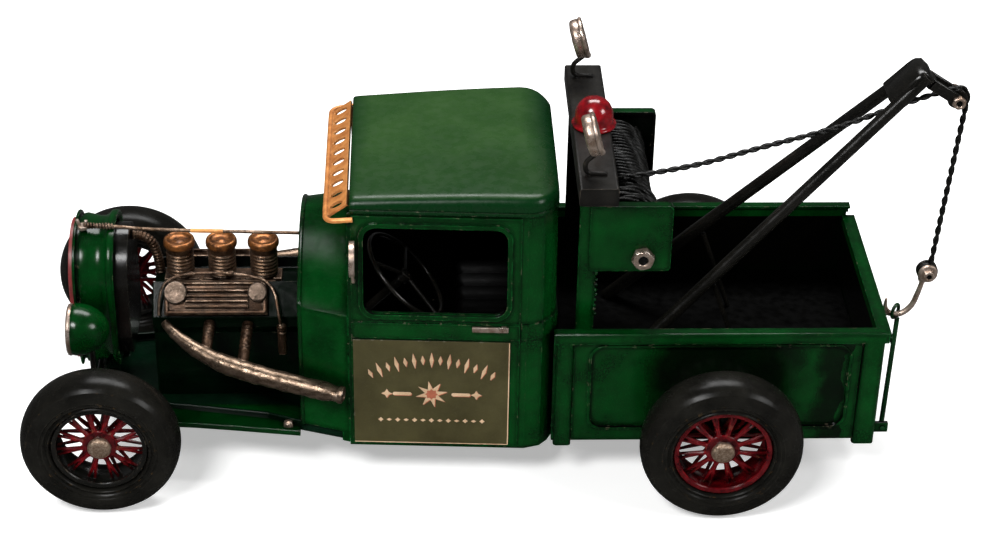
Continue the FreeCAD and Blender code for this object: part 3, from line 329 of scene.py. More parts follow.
# Colours in ten-thousandths.
GREENS = {
    "green": {},
    "green_dark": dict(specular=0.12, deep=(10, 60, 30), main=(20, 140, 60), light=(60, 450, 180), crease=1.0),
    "green_cab": dict(second=towards(120, 0, 64)),
    "green_cowl": dict(second=towards(120, 0, 64), specular=0.05, rough=(0.2, 0.32)),
    "engine": dict(deep=(3, 15, 6), main=(6, 45, 15), light=(30, 200, 70), crease=1.0, specular=0.1),
    "green_bed": dict(second=(BLACK, bed_shade)),
    "green_gate": dict(second=towards(217, 0, 46, 0.0575)),
    "green_winch": dict(second=towards(184, 0, 98)),
    # Black on the far post, at positive offsets across the truck: painted shade.
    "green_post_painted_shade": dict(second=(BLACK, lambda graph: graph.chain("GREATER_THAN", graph.axis("Y"), 0.0))),
    "green_nose": dict(second=towards(-4, 0, 58)),
    # The roof's greens are lighter and warmer than the rest, a painted sheen of the light on its top; its second
    # colour is painted shade on the shoulders and the near half, and darker towards the ends.
    "roof_green_painted_light": dict(second=((8, 220, 40), roof_painted_shade), relief=(700, 0.00005), rough=(0.22, 0.34), specular=0.22,
        border=0.6, deep=(150, 500, 100), main=(220, 620, 140), light=(500, 1300, 400)),
    "sling": dict(main=(60, 500, 120), light=(300, 1600, 500)),
}
# Deep, main and light colour (the light one also paints highlights on the edges), wash and painted shade colour, and
# chips, then what differs from the usual finish.
FINISHES = {
    "black": ((25, 25, 20), (60, 55, 45), (500, 450, 350), (8, 8, 8), BARE,
        dict(rough=(0.14, 0.26), edge=0.45, specular=0.35)),
    "black_bar": ((50, 45, 40), (110, 100, 80), (600, 500, 400), (10, 10, 10), BARE,
        dict(rough=(0.3, 0.42), edge=0.7, relief=(700, 0.00006), specular=0.2, border=0.8)),
    "interior": ((1, 1, 1), (3, 3, 2), (15, 15, 10), (1, 1, 1), (300, 280, 200),
        dict(rough=(0.3, 0.5), edge=0.25, specular=0.03)),
    "red": ((220, 2, 10), (1000, 9, 32), (3400, 100, 120), (40, 5, 8), (2000, 1200, 600),
        dict(rough=(0.15, 0.28), crease=0.95, reach=0.005, broad=300, specular=0.35)),
    "grille_red": ((1600, 100, 120), (3000, 300, 300), (4200, 900, 700), (100, 20, 20), BARE,
        dict(rough=(0.35, 0.5), broad=200, reach=0.003)),
    "copper": ((5000, 1700, 400), (7800, 3200, 900), (9500, 5500, 2200), (800, 300, 100), (300, 150, 80),
        dict(rough=(0.3, 0.45), metallic=0.35, broad=240, reach=0.0035, crease=0.9)),
    "stack_bronze": ((700, 360, 180), (2000, 1150, 650), (6800, 5000, 3800), (60, 30, 20), (5000, 3000, 1500),
        dict(rough=(0.26, 0.42), metallic=0.85, broad=300, edge=1.0, reach=0.0022, crease=1.0,
            relief=(1100, 0.0001))),
    "cap_copper": ((600, 220, 80), (3400, 1200, 300), (8500, 4200, 1600), (120, 60, 30), (200, 100, 50),
        dict(rough=(0.25, 0.4), metallic=0.7, broad=420, edge=1.0, reach=0.0025, crease=1.0, relief=(900, 0.0001))),
    "bronze": ((260, 130, 65), (850, 440, 240), (5500, 3900, 2800), (60, 30, 20), (5000, 3000, 1500),
        dict(rough=(0.28, 0.46), metallic=0.8, broad=260, edge=1.0, reach=0.003, crease=0.97,
            relief=(1100, 0.0001))),
    "exhaust": ((850, 550, 350), (2400, 1700, 1200), (7200, 6000, 5100), (120, 60, 40), (6000, 3600, 1600),
        dict(rough=(0.24, 0.4), metallic=0.9, broad=260, stretch=(1, 3, 3), reach=0.005, crease=0.95,
            relief=(900, 0.00016))),
    "steel": ((3400, 2300, 1650), (6800, 5400, 4500), (9400, 8700, 8000), (200, 100, 60), (5000, 2800, 1200),
        dict(rough=(0.22, 0.42), metallic=0.85, broad=320, reach=0.002, crease=0.95, relief=(600, 0.00016))),
    "disc_steel": ((500, 340, 230), (1500, 1050, 780), (5000, 4000, 3200), (100, 60, 40), (5000, 2800, 1200),
        dict(rough=(0.3, 0.46), metallic=0.85, broad=420, edge=1.0, reach=0.002, crease=0.95,
            relief=(900, 0.0002))),
    "rubber": ((45, 43, 36), (90, 85, 70), (350, 320, 260), (15, 15, 13), (1600, 900, 300),
        dict(rough=(0.18, 0.3), broad=90, edge=0.5, chips=0.5, relief=(800, 0.00003), specular=0.09)),
    "rope": ((15, 15, 13), (50, 50, 45), (300, 300, 260), (3, 3, 3), (200, 200, 200),
        dict(rough=(0.2, 0.34), broad=300, crease=0.95, reach=0.0018, relief=(3000, 0.00003), specular=0.2)),
    "olive": ((360, 300, 70), (540, 460, 130), (1000, 880, 400), (60, 60, 30), (4000, 3600, 3000),
        dict(rough=(0.4, 0.55), reach=0.002, specular=0.25)),
    "cream": ((4200, 2500, 1300), (6200, 4200, 2500), (8000, 6500, 4800), (1200, 600, 300), (3000, 1000, 500),
        dict(rough=(0.45, 0.6), reach=0.0004, crease=0.3)),
    "orange": ((3000, 700, 300), (4600, 1200, 500), (6000, 2500, 1200), (800, 200, 100), (2000, 600, 300),
        dict(rough=(0.45, 0.6), reach=0.0004, crease=0.3)),
    "leather": ((8, 8, 8), (20, 20, 20), (80, 80, 80), (30, 30, 30), (400, 350, 300),
        dict(specular=0.04, rough=(0.4, 0.55), broad=150, relief=(1900, 0.00008))),
    "hub_cap": ((2600, 1600, 1000), (5600, 4200, 3100), (8800, 7800, 6800), (500, 250, 150), (3000, 1500, 700),
        dict(rough=(0.3, 0.5), metallic=0.85, broad=1300, reach=0.002, relief=(1100, 0.0004))),
}
LENSES = {"lens": ((2600, 20, 60), (600, 3, 20)), "glass": ((6200, 6000, 5500), (4000, 3800, 3300))}


def looks():
    """All the materials, by name."""
    made = {name: green(name, **settings) for name, settings in GREENS.items()}
    for name, (*colours, settings) in FINISHES.items():
        made[name] = finish(name, *colours, **settings)
    for name, colours in LENSES.items():
        made[name] = lens_material(name, *colours)
    return made


# ---------------------------------------------------------------- mesh building

def rings(bm, loops, slot=0, cap=True):
    """Join loops of points into a skin; a loop of one point closes it to a tip."""
    made = [[bm.verts.new(place) for place in loop] for loop in loops]
    faces = []
    for first, second in zip(made, made[1:]):
        count = max(len(first), len(second))
        for index in range(count):
            following = (index + 1) % count
            corners = [first[index % len(first)], first[following % len(first)], second[following % len(second)],
                second[index % len(second)]]
            unique = [corner for place, corner in enumerate(corners) if corner not in corners[:place]]
            if len(unique) > 2:
                faces.append(bm.faces.new(unique))
    if cap:
        faces += [bm.faces.new(loop) for loop in (made[0], made[-1]) if len(loop) > 2]
    for face in faces:
        face.material_index = slot
        face.smooth = True
    return faces


def axes(direction):
    """Two directions across a direction."""
    across = UPRIGHT if abs(direction.z) < 0.9 else REARWARD
    first = direction.cross(across).normalized()
    return first, direction.cross(first).normalized()


def lathe(bm, outline, centre, direction, steps=64, slot=0):
    """Turn a (radius, length) outline, in millimetres, about a direction through a point."""
    direction = direction.normalized()
    first, second = axes(direction)
    loops = []
    for radius, length in outline:
        middle = centre + direction * length * MM
        if radius == 0:
            loops.append([middle])
            continue
        turns = [tau * step / steps for step in range(steps)]
        loops.append([middle + (first * cos(turn) + second * sin(turn)) * radius * MM for turn in turns])
    rings(bm, loops, slot, False)


def smooth_line(route, fineness=12):
    """Points along the NURBS spline that has the route as its control points."""
    curve = bpy.data.curves.new("route", "CURVE")
    curve.dimensions = "3D"
    spline = curve.splines.new("NURBS")
    spline.points.add(len(route) - 1)
    for point, place in zip(spline.points, route):
        point.co = (*place, 1)
    spline.order_u = 3
    spline.use_endpoint_u = True
    spline.resolution_u = fineness
    holder = bpy.data.objects.new("route", curve)
    mesh = bpy.data.meshes.new_from_object(holder)
    points = [vertex.co.copy() for vertex in mesh.vertices]
    bpy.data.objects.remove(holder)
    bpy.data.curves.remove(curve)
    bpy.data.meshes.remove(mesh)
    return points


def evenly(points, step):
    """Points at even distances along a line of points."""
    result, carried = [points[0]], 0.0
    for first, second in zip(points, points[1:]):
        length = (second - first).length
        while length > 1e-9 and carried + length >= step:
            first = first.lerp(second, (step - carried) / length)
            length = (second - first).length
            result.append(first)
            carried = 0.0
        carried += length
    if (points[-1] - result[-1]).length > 0.3 * step:
        result.append(points[-1])
    return result


def course(route, step, side=1):
    """Points at even distances along the smooth line of a route in millimetres; side mirrors it."""
    return evenly(smooth_line([spot(x, side * y, z) for x, y, z in route]), step * MM)


def transported(points):
    """A direction and two steady cross axes at every point of a line."""
    frames = []
    first = None
    for index, point in enumerate(points):
        ahead = points[min(index + 1, len(points) - 1)] - points[max(index - 1, 0)]
        ahead.normalize()
        if first is None:
            first = axes(ahead)[0]
        first = (first - ahead * first.dot(ahead)).normalized()
        frames.append((point, ahead, first, ahead.cross(first).normalized()))
    return frames


def sweep(bm, points, radius, sides=16, slot=0, flat=None):
    """A round bar along points; radius and flat are millimetres or functions of the share run."""
    loops = []
    last = len(points) - 1
    for index, (point, ahead, first, second) in enumerate(transported(points)):
        share = index / last
        reach = (radius(share) if callable(radius) else radius) * MM
        squash = flat(share) if flat else 1.0
        loops.append([point + (first * cos(tau * side / sides) + second * squash * sin(tau * side / sides)) * reach
            for side in range(sides)])
    return rings(bm, loops, slot)


def weld(bm):
    bmesh.ops.remove_doubles(bm, verts=bm.verts, dist=1e-7)


def roughen(bm, scale, depth):
    """Shift the surface a little, as handwork would."""
    for vertex in bm.verts:
        vertex.co += noise.noise_vector(vertex.co * scale) * depth


def block(bm, low, high, slot=0, soft=0.4, matrix=None, segments=2):
    """A box with rounded edges, from its corners in metres or in a matrix's own millimetres."""
    made = bmesh.ops.create_cube(bm, size=1)["verts"]
    size = [b - a for a, b in zip(low, high)]
    middle = [(a + b) / 2 for a, b in zip(low, high)]
    for vertex in made:
        vertex.co = Vector([m + s * c for m, s, c in zip(middle, size, vertex.co)])
        if matrix:
            vertex.co = matrix @ vertex.co
    edges = list(dict.fromkeys(edge for vertex in made for edge in vertex.link_edges))
    faces = {face for vertex in made for face in vertex.link_faces}
    result = bmesh.ops.bevel(bm, geom=edges, offset=soft * MM, segments=segments, affect="EDGES", profile=0.5)
    for face in faces.union(result["faces"]):
        if face.is_valid:
            face.material_index = slot
            face.smooth = True


def piece(name, bm, body, finishes, replaces=(), sharp=35):
    """Turn a mesh under construction into a piece of the truck."""
    bmesh.ops.recalc_face_normals(bm, faces=bm.faces)
    mesh = bpy.data.meshes.new(name)
    bm.to_mesh(mesh)
    bm.free()
    mesh.set_sharp_from_angle(angle=radians(sharp))
    item = bpy.data.objects.new(name, mesh)
    bpy.context.scene.collection.objects.link(item)
    for key in finishes:
        mesh.materials.append(LOOKS[key])
    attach(item, body)
    if replaces:
        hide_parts(*replaces)
    return item


# ---------------------------------------------------------------- wheels

WHEELS = {"front_left": (0, 28.0, -54.8), "front_right": (0, 28.0, 54.8), "rear_left": (217.9, 28.85, -60.7),
    "rear_right": (217.9, 28.85, 60.7)}
HUB_REACH, RIM_LIP = 2.5, 1.2
SPOKES, SPOKE_CROSS = 12, radians(19)


def tyre(name, station, radius, track):
    """Fat smooth tyre: rounded tread, full sidewalls and three raised rings on each."""
    centre = spot(station, track, radius)
    wall = [(0.612, 6.0), (0.618, 6.9), (0.632, 7.3), (0.648, 7.15), (0.656, 6.75), (0.668, 6.75), (0.682, 7.2),
        (0.694, 7.62), (0.704, 7.7), (0.714, 7.55), (0.722, 7.45), (0.735, 7.72), (0.743, 7.98), (0.752, 8.0),
        (0.762, 7.82), (0.80, 7.85), (0.845, 7.72), (0.876, 7.45), (0.889, 7.42), (0.898, 7.5), (0.906, 7.3),
        (0.915, 6.95), (0.935, 6.4), (0.96, 5.4), (0.98, 4.1), (0.993, 2.4), (0.9985, 1.1), (1.0, 0)]
    half = [(share * radius, offset) for share, offset in wall]
    outline = half + [(distance, -offset) for distance, offset in reversed(half[:-1])]
    outline += [(0.606 * radius, -3.0), (0.606 * radius, 3.0)]
    bm = bmesh.new()
    lathe(bm, outline + outline[:1], centre, ACROSS, 112)
    weld(bm)
    piece(f"rubber_tyre_{name}", bm, f"{name}_wheel", ["rubber"], [f"tyre_{name}"], 60)


def wire_wheel(name, station, radius, track):
    """Rolled rim, crossed wire spokes in two dished sets, a red hub and a rough cap."""
    centre = spot(station, track, radius)
    side = 1 if track > 0 else -1
    along = ACROSS * side
    rim = 0.61 * radius
    bm = bmesh.new()
    rolled = [(rim, 5.5), (rim - 0.5, 6.0), (rim - 1.3, 6.05), (rim - 2.0, 5.6), (rim - 2.15, 5.0),
        (rim - 1.5, 4.0), (rim - 1.05, 3.2), (rim - 1.0, 0)]
    profile = rolled + [(r, -h) for r, h in reversed(rolled[:-1])] + [(rim, -5.5), (rim, 5.5)]
    lathe(bm, profile, centre, along, 96, 1 if name.startswith("front") else 0)
    hub = [(1.56, -5.2), (3.0, -5.2), (3.4, -4.8), (3.4, -4.1), (2.6, -3.4), (2.6, 1.0), (3.6, 1.8), (5.4, 2.3),
        (6.2, 2.9), (6.0, 3.4), (4.8, 3.9), (0, 3.9)]
    lathe(bm, hub, centre, along, 40)
    cap = [(0, 6.7), (1.4, 6.66), (2.9, 6.5), (3.7, 6.1), (4.1, 5.5), (4.15, 4.6), (3.7, 3.85), (0, 3.85)]
    lathe(bm, cap, centre, along, 40, 2)
    for index in range(SPOKES):
        base = tau * index / SPOKES
        dishes = [(3.0, 1.2)] if index % 2 == 0 else [(3.0, 1.2), (-3.6, -1.2)]
        for end in (base - SPOKE_CROSS, base + SPOKE_CROSS):
            for inner, outer in dishes:
                start, stop = (centre + Vector((reach * cos(turn), side * out, reach * sin(turn))) * MM
                    for reach, turn, out in ((HUB_REACH, base, inner), (rim - RIM_LIP, end, outer)))
                sweep(bm, [start.lerp(stop, share) for share in (0, 0.33, 0.9, 1)],
                    lambda share: 0.86 if share < 0.5 else 0.55, 7)
    piece(f"spoked_wheel_{name}", bm, f"{name}_wheel", ["red", "black", "hub_cap"],
        [f"wire_wheel_{name}"], 40)


# ---------------------------------------------------------------- nose

def through(first, middle, last, count):
    """Points of the circle arc through three (y, z) places, without the first."""
    (ax, ay), (bx, by), (cx, cy) = first, middle, last
    d = 2 * (ax * (by - cy) + bx * (cy - ay) + cx * (ay - by))
    sa, sb, sc = ax * ax + ay * ay, bx * bx + by * by, cx * cx + cy * cy
    ux = (sa * (by - cy) + sb * (cy - ay) + sc * (ay - by)) / d
    uy = (sa * (cx - bx) + sb * (ax - cx) + sc * (bx - ax)) / d
    radius = hypot(ax - ux, ay - uy)
    start, end = atan2(ay - uy, ax - ux), atan2(cy - uy, cx - ux)
    return [(ux + radius * cos(start + (end - start) * step / count),
        uy + radius * sin(start + (end - start) * step / count)) for step in range(1, count + 1)]


def shell_loop(station, inset):
    """The grille shell's outline at a station, drawn in by an inset."""
    half, top, bottom = 19.5 - inset, 85.5 - inset, 33.0 + inset
    foot, shoulder, crown = half - 4.0, top - 17.0, half - 10.5
    right = [(0, bottom), (foot * 0.5, bottom), (foot, bottom), (half - 1.5, bottom + 5), (half, bottom + 9)]
    right += [(half, bottom + 9 + (shoulder - bottom - 9) * share) for share in (0.25, 0.5, 0.75, 1)]
    right += through((half, shoulder), (half - 2.9, shoulder + 8.8), (crown, top - 1.6), 9)
    right += through((crown, top - 1.6), (0, top), (-crown, top - 1.6), 8)[:4]
    left = [(-y, z) for y, z in reversed(right[1:-1])]
    return [spot(station, y, z) for y, z in right + left]


def grille_shell():
    """Pressed shell: thin front flange, a groove, a hollow shoulder and a raised rear flange."""
    outside = [(-11.0, 0.5), (-10.9, 0.1), (-10.6, 0.0), (-10.1, 0.05), (-9.9, 0.5), (-9.8, 1.5), (-9.0, 1.6),
        (-8.6, 0.9), (-7.6, 0.75), (-5.5, 1.1), (-3.0, 1.55), (-1.0, 1.5), (0.2, 1.0), (0.9, 0.35), (1.3, 0.05),
        (1.8, 0.0), (3.2, 0.0), (3.45, 0.1), (3.5, 0.4)]
    inside = [(3.5, 1.2), (3.0, 2.4), (-9.0, 2.6), (-10.0, 1.6), (-11.0, 1.4), (-11.0, 0.5)]
    bm = bmesh.new()
    rings(bm, [shell_loop(station, inset) for station, inset in outside + inside], cap=False)
    weld(bm)
    piece("pressed_shell", bm, "truck", ["green_nose"], ["grille_shell"], 50)


def grille_bars():
    """Red insert with a frame and upright bars."""
    bm = bmesh.new()
    frame_loops = [(-12.5, 2.0), (-12.6, 2.4), (-12.6, 3.6), (-12.3, 3.9), (-10.6, 3.9), (-10.45, 2.0),
        (-12.5, 2.0)]
    rings(bm, [shell_loop(station, inset) for station, inset in frame_loops], cap=False)
    weld(bm)
    for index in range(-7, 8):
        y = index * 2.05
        top = 81.2 - 0.018 * y * y - (0.35 * max(0, abs(y) - 8)) ** 1.7
        block(bm, spot(-12.1, y - 0.42, 37.2), spot(-10.9, y + 0.42, top), 0, 0.25)
    block(bm, spot(-12.45, -0.8, 36.8), spot(-10.8, 0.8, 81.2), 0, 0.3)
    piece("grille_bars", bm, "truck", ["grille_red"], ["grille_insert"])


def headlamps():
    """Teardrop buckets with bright rims and pale lenses."""
    bm = bmesh.new()
    bucket = [(8.6, 1.5), (9.1, 1.7), (9.28, 2.5), (9.25, 4.2), (8.95, 6.0), (8.3, 8.0), (7.2, 10.0), (5.7, 11.9),
        (3.9, 13.3), (1.9, 14.2), (0, 14.4)]
    rim = [(7.8, 0.5), (8.0, 0.1), (8.6, 0.0), (9.1, 0.25), (9.3, 0.9), (9.1, 1.5), (8.6, 1.7), (7.8, 1.3),
        (7.8, 0.5)]
    lens = [(0, 0.15), (2.7, 0.2), (5.4, 0.4), (7.1, 0.75), (7.9, 1.0)]
    for side in (-1, 1):
        centre = spot(-12, side * 29.2, 57.5)
        for slot, outline in enumerate((bucket, rim, lens)):
            lathe(bm, outline, centre, REARWARD, 56, slot)
    piece("lamp_buckets", bm, "truck", ["green", "steel", "glass"], ["headlights"])


def coolant_hose():
    """Ribbed hose from the radiator to the engine."""
    step = 0.16
    path = course([(8.15, 4, 76.4), (12.4, 4, 76.4), (17, 4, 71), (17.6, 4, 60.65)], step)
    bm = bmesh.new()
    pitch = 1.25 * MM
    length = step * MM * (len(path) - 1)
    sweep(bm, path, lambda share: 1.35 + 0.5 * abs(sin(pi * share * length / pitch)) ** 0.6, 20)
    piece("ribbed_hose", bm, "truck", ["bronze"], ["radiator_hose"], 70)


def stay():
    """The long stay rod, wrapped with wire at its front end."""
    bm = bmesh.new()
    rod = [(-5.4, -6, 86.05), (4, -6, 86), (14, -6, 84.6), (40, -6, 83.8), (69.2, -6, 82.9)]
    sweep(bm, course(rod, 1.0), 0.65, 10)
    wrap = []
    turns, steps = 10, 10
    for step in range(turns * steps):
        share = step / (turns * steps)
        x = -7.0 + 10.6 * share
        turn = tau * step / steps
        reach = 0.78 + 0.1 * sin(11 * share)
        wrap.append(spot(x, -6 + reach * cos(turn), 86.3 - 0.35 * share + reach * sin(turn)))
    sweep(bm, smooth_line(wrap, fineness=3), 0.46, 6)
    sleeve = [spot(30.5, -6, 84.05), spot(42, -6, 83.7)]
    sweep(bm, [sleeve[0].lerp(sleeve[1], step / 8) for step in range(9)], 0.78, 10, 2)
    piece("wrapped_stay", bm, "truck", ["bronze", "steel", "copper"], ["stay_rod"])


# ---------------------------------------------------------------- engine

def stacks():
    """Three ribbed carburettor bodies and their dished copper caps."""
    bodies, caps = bmesh.new(), bmesh.new()
    for index in range(3):
        station = 25.5 + 15.1 * index
        outline = [(4.4, 0), (4.95, 0.2)]
        for rib in range(6):
            low = 0.35 + 1.45 * rib
            outline += [(4.35, low), (4.4, low + 0.25), (4.9, low + 0.42), (5.0, low + 0.72), (4.9, low + 1.02),
                (4.4, low + 1.25)]
        outline += [(4.6, 9.3), (4.9, 9.7), (4.9, 11.4), (0, 11.4)]
        lathe(bodies, outline, spot(station, 0, 63.1), UPRIGHT, 48)
        lid = [(0, 0), (5.3, 0), (5.6, 0.2), (5.7, 0.8), (5.65, 1.7), (5.4, 2.4), (4.9, 2.75), (4.4, 2.65),
            (4.0, 2.3), (3.5, 1.95), (2.4, 1.75), (1.5, 1.8), (1.0, 2.05), (0, 2.1)]
        lathe(caps, lid, spot(station, 0, 74.5), UPRIGHT, 48)
    piece("ribbed_stacks", bodies, "truck", ["stack_bronze"], ["carburettor_stacks"], 50)
    piece("dished_caps", caps, "truck", ["cap_copper"], ["stack_caps"], 50)


def valve_covers():
    """Sloping covers: a framed plate, four long ribs and a breather disc at each end."""
    bm = bmesh.new()
    for side in (-1, 1):
        slope = radians(50)
        normal = Vector((0, side * sin(slope), cos(slope)))
        uphill = Vector((0, -side * cos(slope), sin(slope)))
        place = workspace(spot(20.5, side * 16.55, 54.55), facing(REARWARD, uphill, normal))
        block(bm, (0, 0, 0), (37, 12.4, 2.4), 0, 0.5, place, 3)
        border = [(1, 1), (36, 1), (36, 11.4), (1, 11.4)]
        for first, second in zip(border, border[1:] + border[:1]):
            ends = [place @ Vector((*point, 2.5)) for point in (first, second)]
            sweep(bm, [ends[0].lerp(ends[1], step / 6) for step in range(7)], 0.75, 8)
        for height, reach in ((3.1, 0.75), (5.0, 0.7), (6.9, 0.7), (8.8, 0.75)):
            points = [place @ Vector((7.6 + 22.4 * step / 10, height, 2.7)) for step in range(11)]
            sweep(bm, points, reach, 8)
        for x, reach in ((4.1, 4.1), (33.4, 3.5)):
            disc = [(reach - 0.2, 0), (reach, 0.4), (reach, 1.9), (reach - 0.25, 2.2), (reach * 0.8, 2.25),
                (0, 2.15)]
            lathe(bm, disc, place @ Vector((x, 8.0, 2.2)), normal, 32, 1)
    piece("finned_covers", bm, "truck", ["bronze", "disc_steel"], ["valve_covers"], 45)


def exhaust(side, name):
    """Collector that swells from the front port to its crimped end, with two branch pipes."""
    route = [(20.4, 17.4, 52.4), (24.6, 22.6, 49.8), (37.6, 31, 45.6), (52.1, 37, 43.6), (69.2, 43, 42.6),
        (84.6, 47.2, 41.2)]
    path = course(route, 1.0, side)
    bm = bmesh.new()

    def reach(share):
        ripple = 0.06 * sin(37 * share) + 0.05 * sin(91 * share)
        crimp = 0.25 * max(0, (share - 0.93) / 0.07)
        return 1.4 + 2.15 * min(1, share / 0.45) ** 0.75 - 0.4 * max(0, share - 0.45) + ripple - crimp

    sweep(bm, path, reach, 24, 0, lambda share: 1 - 0.3 * max(0, (share - 0.9) / 0.1))
    end = path[-1]
    direction = (path[-1] - path[-3]).normalized()
    lathe(bm, [(2.9, -1.6), (3.3, -0.7), (3.2, 0.3), (2.5, 0.6), (2.0, -0.4), (0, -0.9)], end, direction, 18)
    branches = [[(36.6, 17.2, 51.8), (36.4, 22.4, 51.2), (35.8, 27.6, 47)],
        [(50.2, 17.2, 51.2), (50.0, 24, 50.4), (49.0, 33.4, 45.4)]]
    for branch in branches:
        sweep(bm, course(branch, 0.35, side), lambda share: 2.0 + 0.16 * sin(55 * share) * (share < 0.75), 16, 1)
    roughen(bm, 420, 0.00016)
    piece(f"swept_{name}", bm, "truck", ["exhaust", "bronze"], [name], 60)


def pan_lip():
    """Narrow shelf along each side of the pan, with a bright rolled lip and one chipped bolt head."""
    bm = bmesh.new()
    for side in (-1, 1):
        stations = [(14, 33.2, 18.1), (31, 34.6, 18), (45, 36.2, 17.9), (58, 37.9, 17.8), (69, 39.4, 17.8)]
        loops = [[spot(x, side * reach, z) for reach, z in ((22, low + 1.4), (half - 1, low + 1.4),
            (half, low + 2.2), (half + 0.4, low + 1.4), (half + 0.1, low), (22, low + 0.3))]
            for x, half, low in stations]
        rings(bm, loops)
        head = spot(64.5, side * 35, 19.2)
        lathe(bm, [(0, 0), (1.9, 0), (2.0, 0.6), (1.7, 1.5), (0.9, 1.9), (0, 2.0)], head, UPRIGHT, 6, 1)
    roughen(bm, 300, 0.0001)
    piece("rolled_pan_lip", bm, "truck", ["green", "steel"], [], 40)


def cowl_bead():
    """Rolled flange that follows the cowl's front edge."""
    shell = nodes["cowl"]
    places = [shell.matrix_world @ vertex.co for vertex in shell.data.vertices]
    front = min(place.x for place in places)
    middle, foot, sector = 0.045, 0.02, 4
    outermost = {}
    for place in places:
        if place.x < front + 0.0003:
            turn = round(degrees(atan2(place.z - middle, place.y)) / sector) if place.z > middle or place.y else 0
            size = hypot(place.y, place.z - middle)
            if size > outermost.get(turn, (0, None))[0]:
                outermost[turn] = (size, place)
    order = sorted(outermost, key=lambda turn: (turn + 22) % 90)
    line = [Vector((front + 0.0007, *outermost[turn][1].yz)) for turn in order]
    line = [place for place in line if place.z > foot]
    bm = bmesh.new()
    sweep(bm, evenly(line, 1.5 * MM), 0.85, 10)
    piece("cowl_flange", bm, "truck", ["green"], [], 60)


def oil_line():
    """Thin pipe over the near valve cover, down to a fitting on a thicker stub."""
    route = [(62.5, -20.6, 51), (62.2, -20.8, 54), (61.8, -20.8, 56), (59.6, -12.2, 65.6), (50, -10.4, 68.2),
        (36, -9.8, 68.8), (22, -11, 67.8), (18.4, -15, 62), (18.6, -17.8, 55.4)]
    bm = bmesh.new()
    sweep(bm, course(route, 0.8), 0.55, 8)
    top, low = spot(62.5, -20.6, 52), spot(62.6, -20.2, 41)
    down = low - top
    lathe(bm, [(0, -1.6), (1.2, -1.4), (1.8, -0.7), (1.8, 0.5), (1.2, 1.0), (1.7, 1.5), (1.6, 5.5), (1.8, 8),
        (1.6, 11), (0, 11)], top, down, 16)
    for x, y, z in ((30, -10.3, 68.4), (44.5, -10.1, 68.5)):
        lathe(bm, [(0, -1.0), (0.8, -0.9), (1.0, 0), (0.8, 0.9), (0, 1.0)], spot(x, y, z), Vector((1, 0, 0.1)), 12)
    piece("oil_pipe", bm, "truck", ["bronze"], ["oil_line"], 45)


# ---------------------------------------------------------------- cab

def roof():
    """Crowned roof with rounded shoulders, a groove above its lower edge and drawn-in rear corners."""
    base = 110.67
    stations = [(88.0, 38.3, 114.5), (88.15, 38.6, 115.1), (88.6, 38.75, 115.5), (90, 38.85, 115.75)]
    stations += [(90 + 59 * step / 9, 38.85 + 2.9 * step / 9, 115.75 + 2.1 * sin(pi * step / 18))
        for step in range(1, 10)]
    stations += [(151.5, 41.5, 117.75), (153.6, 40.7, 117.5), (155.4, 39.5, 117.2), (157.0, 37.8, 116.7),
        (158.3, 35.9, 116.2), (159.3, 34.0, 115.7), (159.85, 32.7, 115.2)]
    loops = []
    for x, half, top in stations:
        corner, high = 4.2, min(3.4, top - base - 1.9)
        side = [(half, base), (half, base + 1.1), (half - 0.3, base + 1.2), (half - 0.3, base + 1.55),
            (half, base + 1.7)]
        side += [(half - corner * (1 - cos(turn)), top - high * (1 - sin(turn)))
            for turn in (pi / 2 * step / 7 for step in range(0, 8))]
        side += [((half - corner) * share, top + 0.4 * (1 - share * share)) for share in (0.85, 0.65, 0.4, 0.2, 0)]
        loop = side + [(-y, z) for y, z in reversed(side[:-1])]
        loops.append([spot(x, y, z) for y, z in loop])
    bm = bmesh.new()
    rings(bm, loops)
    for vertex in bm.verts:
        if vertex.co.z > 0.1135:
            vertex.co.z += noise.noise(vertex.co * 38) * 0.0002
    piece("crowned_roof", bm, "truck", ["roof_green_painted_light"], ["roof"], 32)


def seat():
    """Bench seat with rolled pleats on its cushion and its back."""
    bm = bmesh.new()
    for (x0, x1), (z0, z1) in (((126, 149.5), (22, 46)), ((147.5, 156), (44, 74))):
        loops = []
        pleats, fine = 8, 6
        for step in range(pleats * fine + 1):
            share = step / (pleats * fine)
            puff = abs(sin(pi * share * pleats)) ** 0.5
            inset = 1.1 * (1 - puff) + (2.2 if step in (0, pleats * fine) else 0)
            y = -35.6 + 71.2 * share
            xs, zs = (x0 + inset, x1 - inset), (z0 + inset, z1 - inset)
            soft = 2.4
            loop = []
            for cx, cz, start in ((xs[1] - soft, zs[1] - soft, 0), (xs[0] + soft, zs[1] - soft, 90),
                    (xs[0] + soft, zs[0] + soft, 180), (xs[1] - soft, zs[0] + soft, 270)):
                for turn in range(0, 91, 18):
                    angle = radians(start + turn)
                    loop.append(spot(cx + soft * cos(angle), y, cz + soft * sin(angle)))
            loops.append(loop)
        rings(bm, loops)
    bench = piece("pleated_seat", bm, "truck", ["leather"], ["seat"], 50)


def star(u, v, outer, inner, count, turn=0.0):
    """A pointed star outline."""
    points = []
    for index in range(2 * count):
        reach, angle = inner if index % 2 else outer, turn + pi * index / count
        points.append((u + reach * cos(angle), v + reach * sin(angle)))
    return points


def bar(u, v, width, height):
    """A rectangle with cut corners."""
    cut = 0.3 * min(width, height)
    a, b = width / 2, height / 2
    corners = [(a, b - cut), (a - cut, b), (cut - a, b), (-a, b - cut), (-a, cut - b), (cut - a, -b), (a - cut, -b),
        (a, cut - b)]
    return [(u + x, v + y) for x, y in corners]


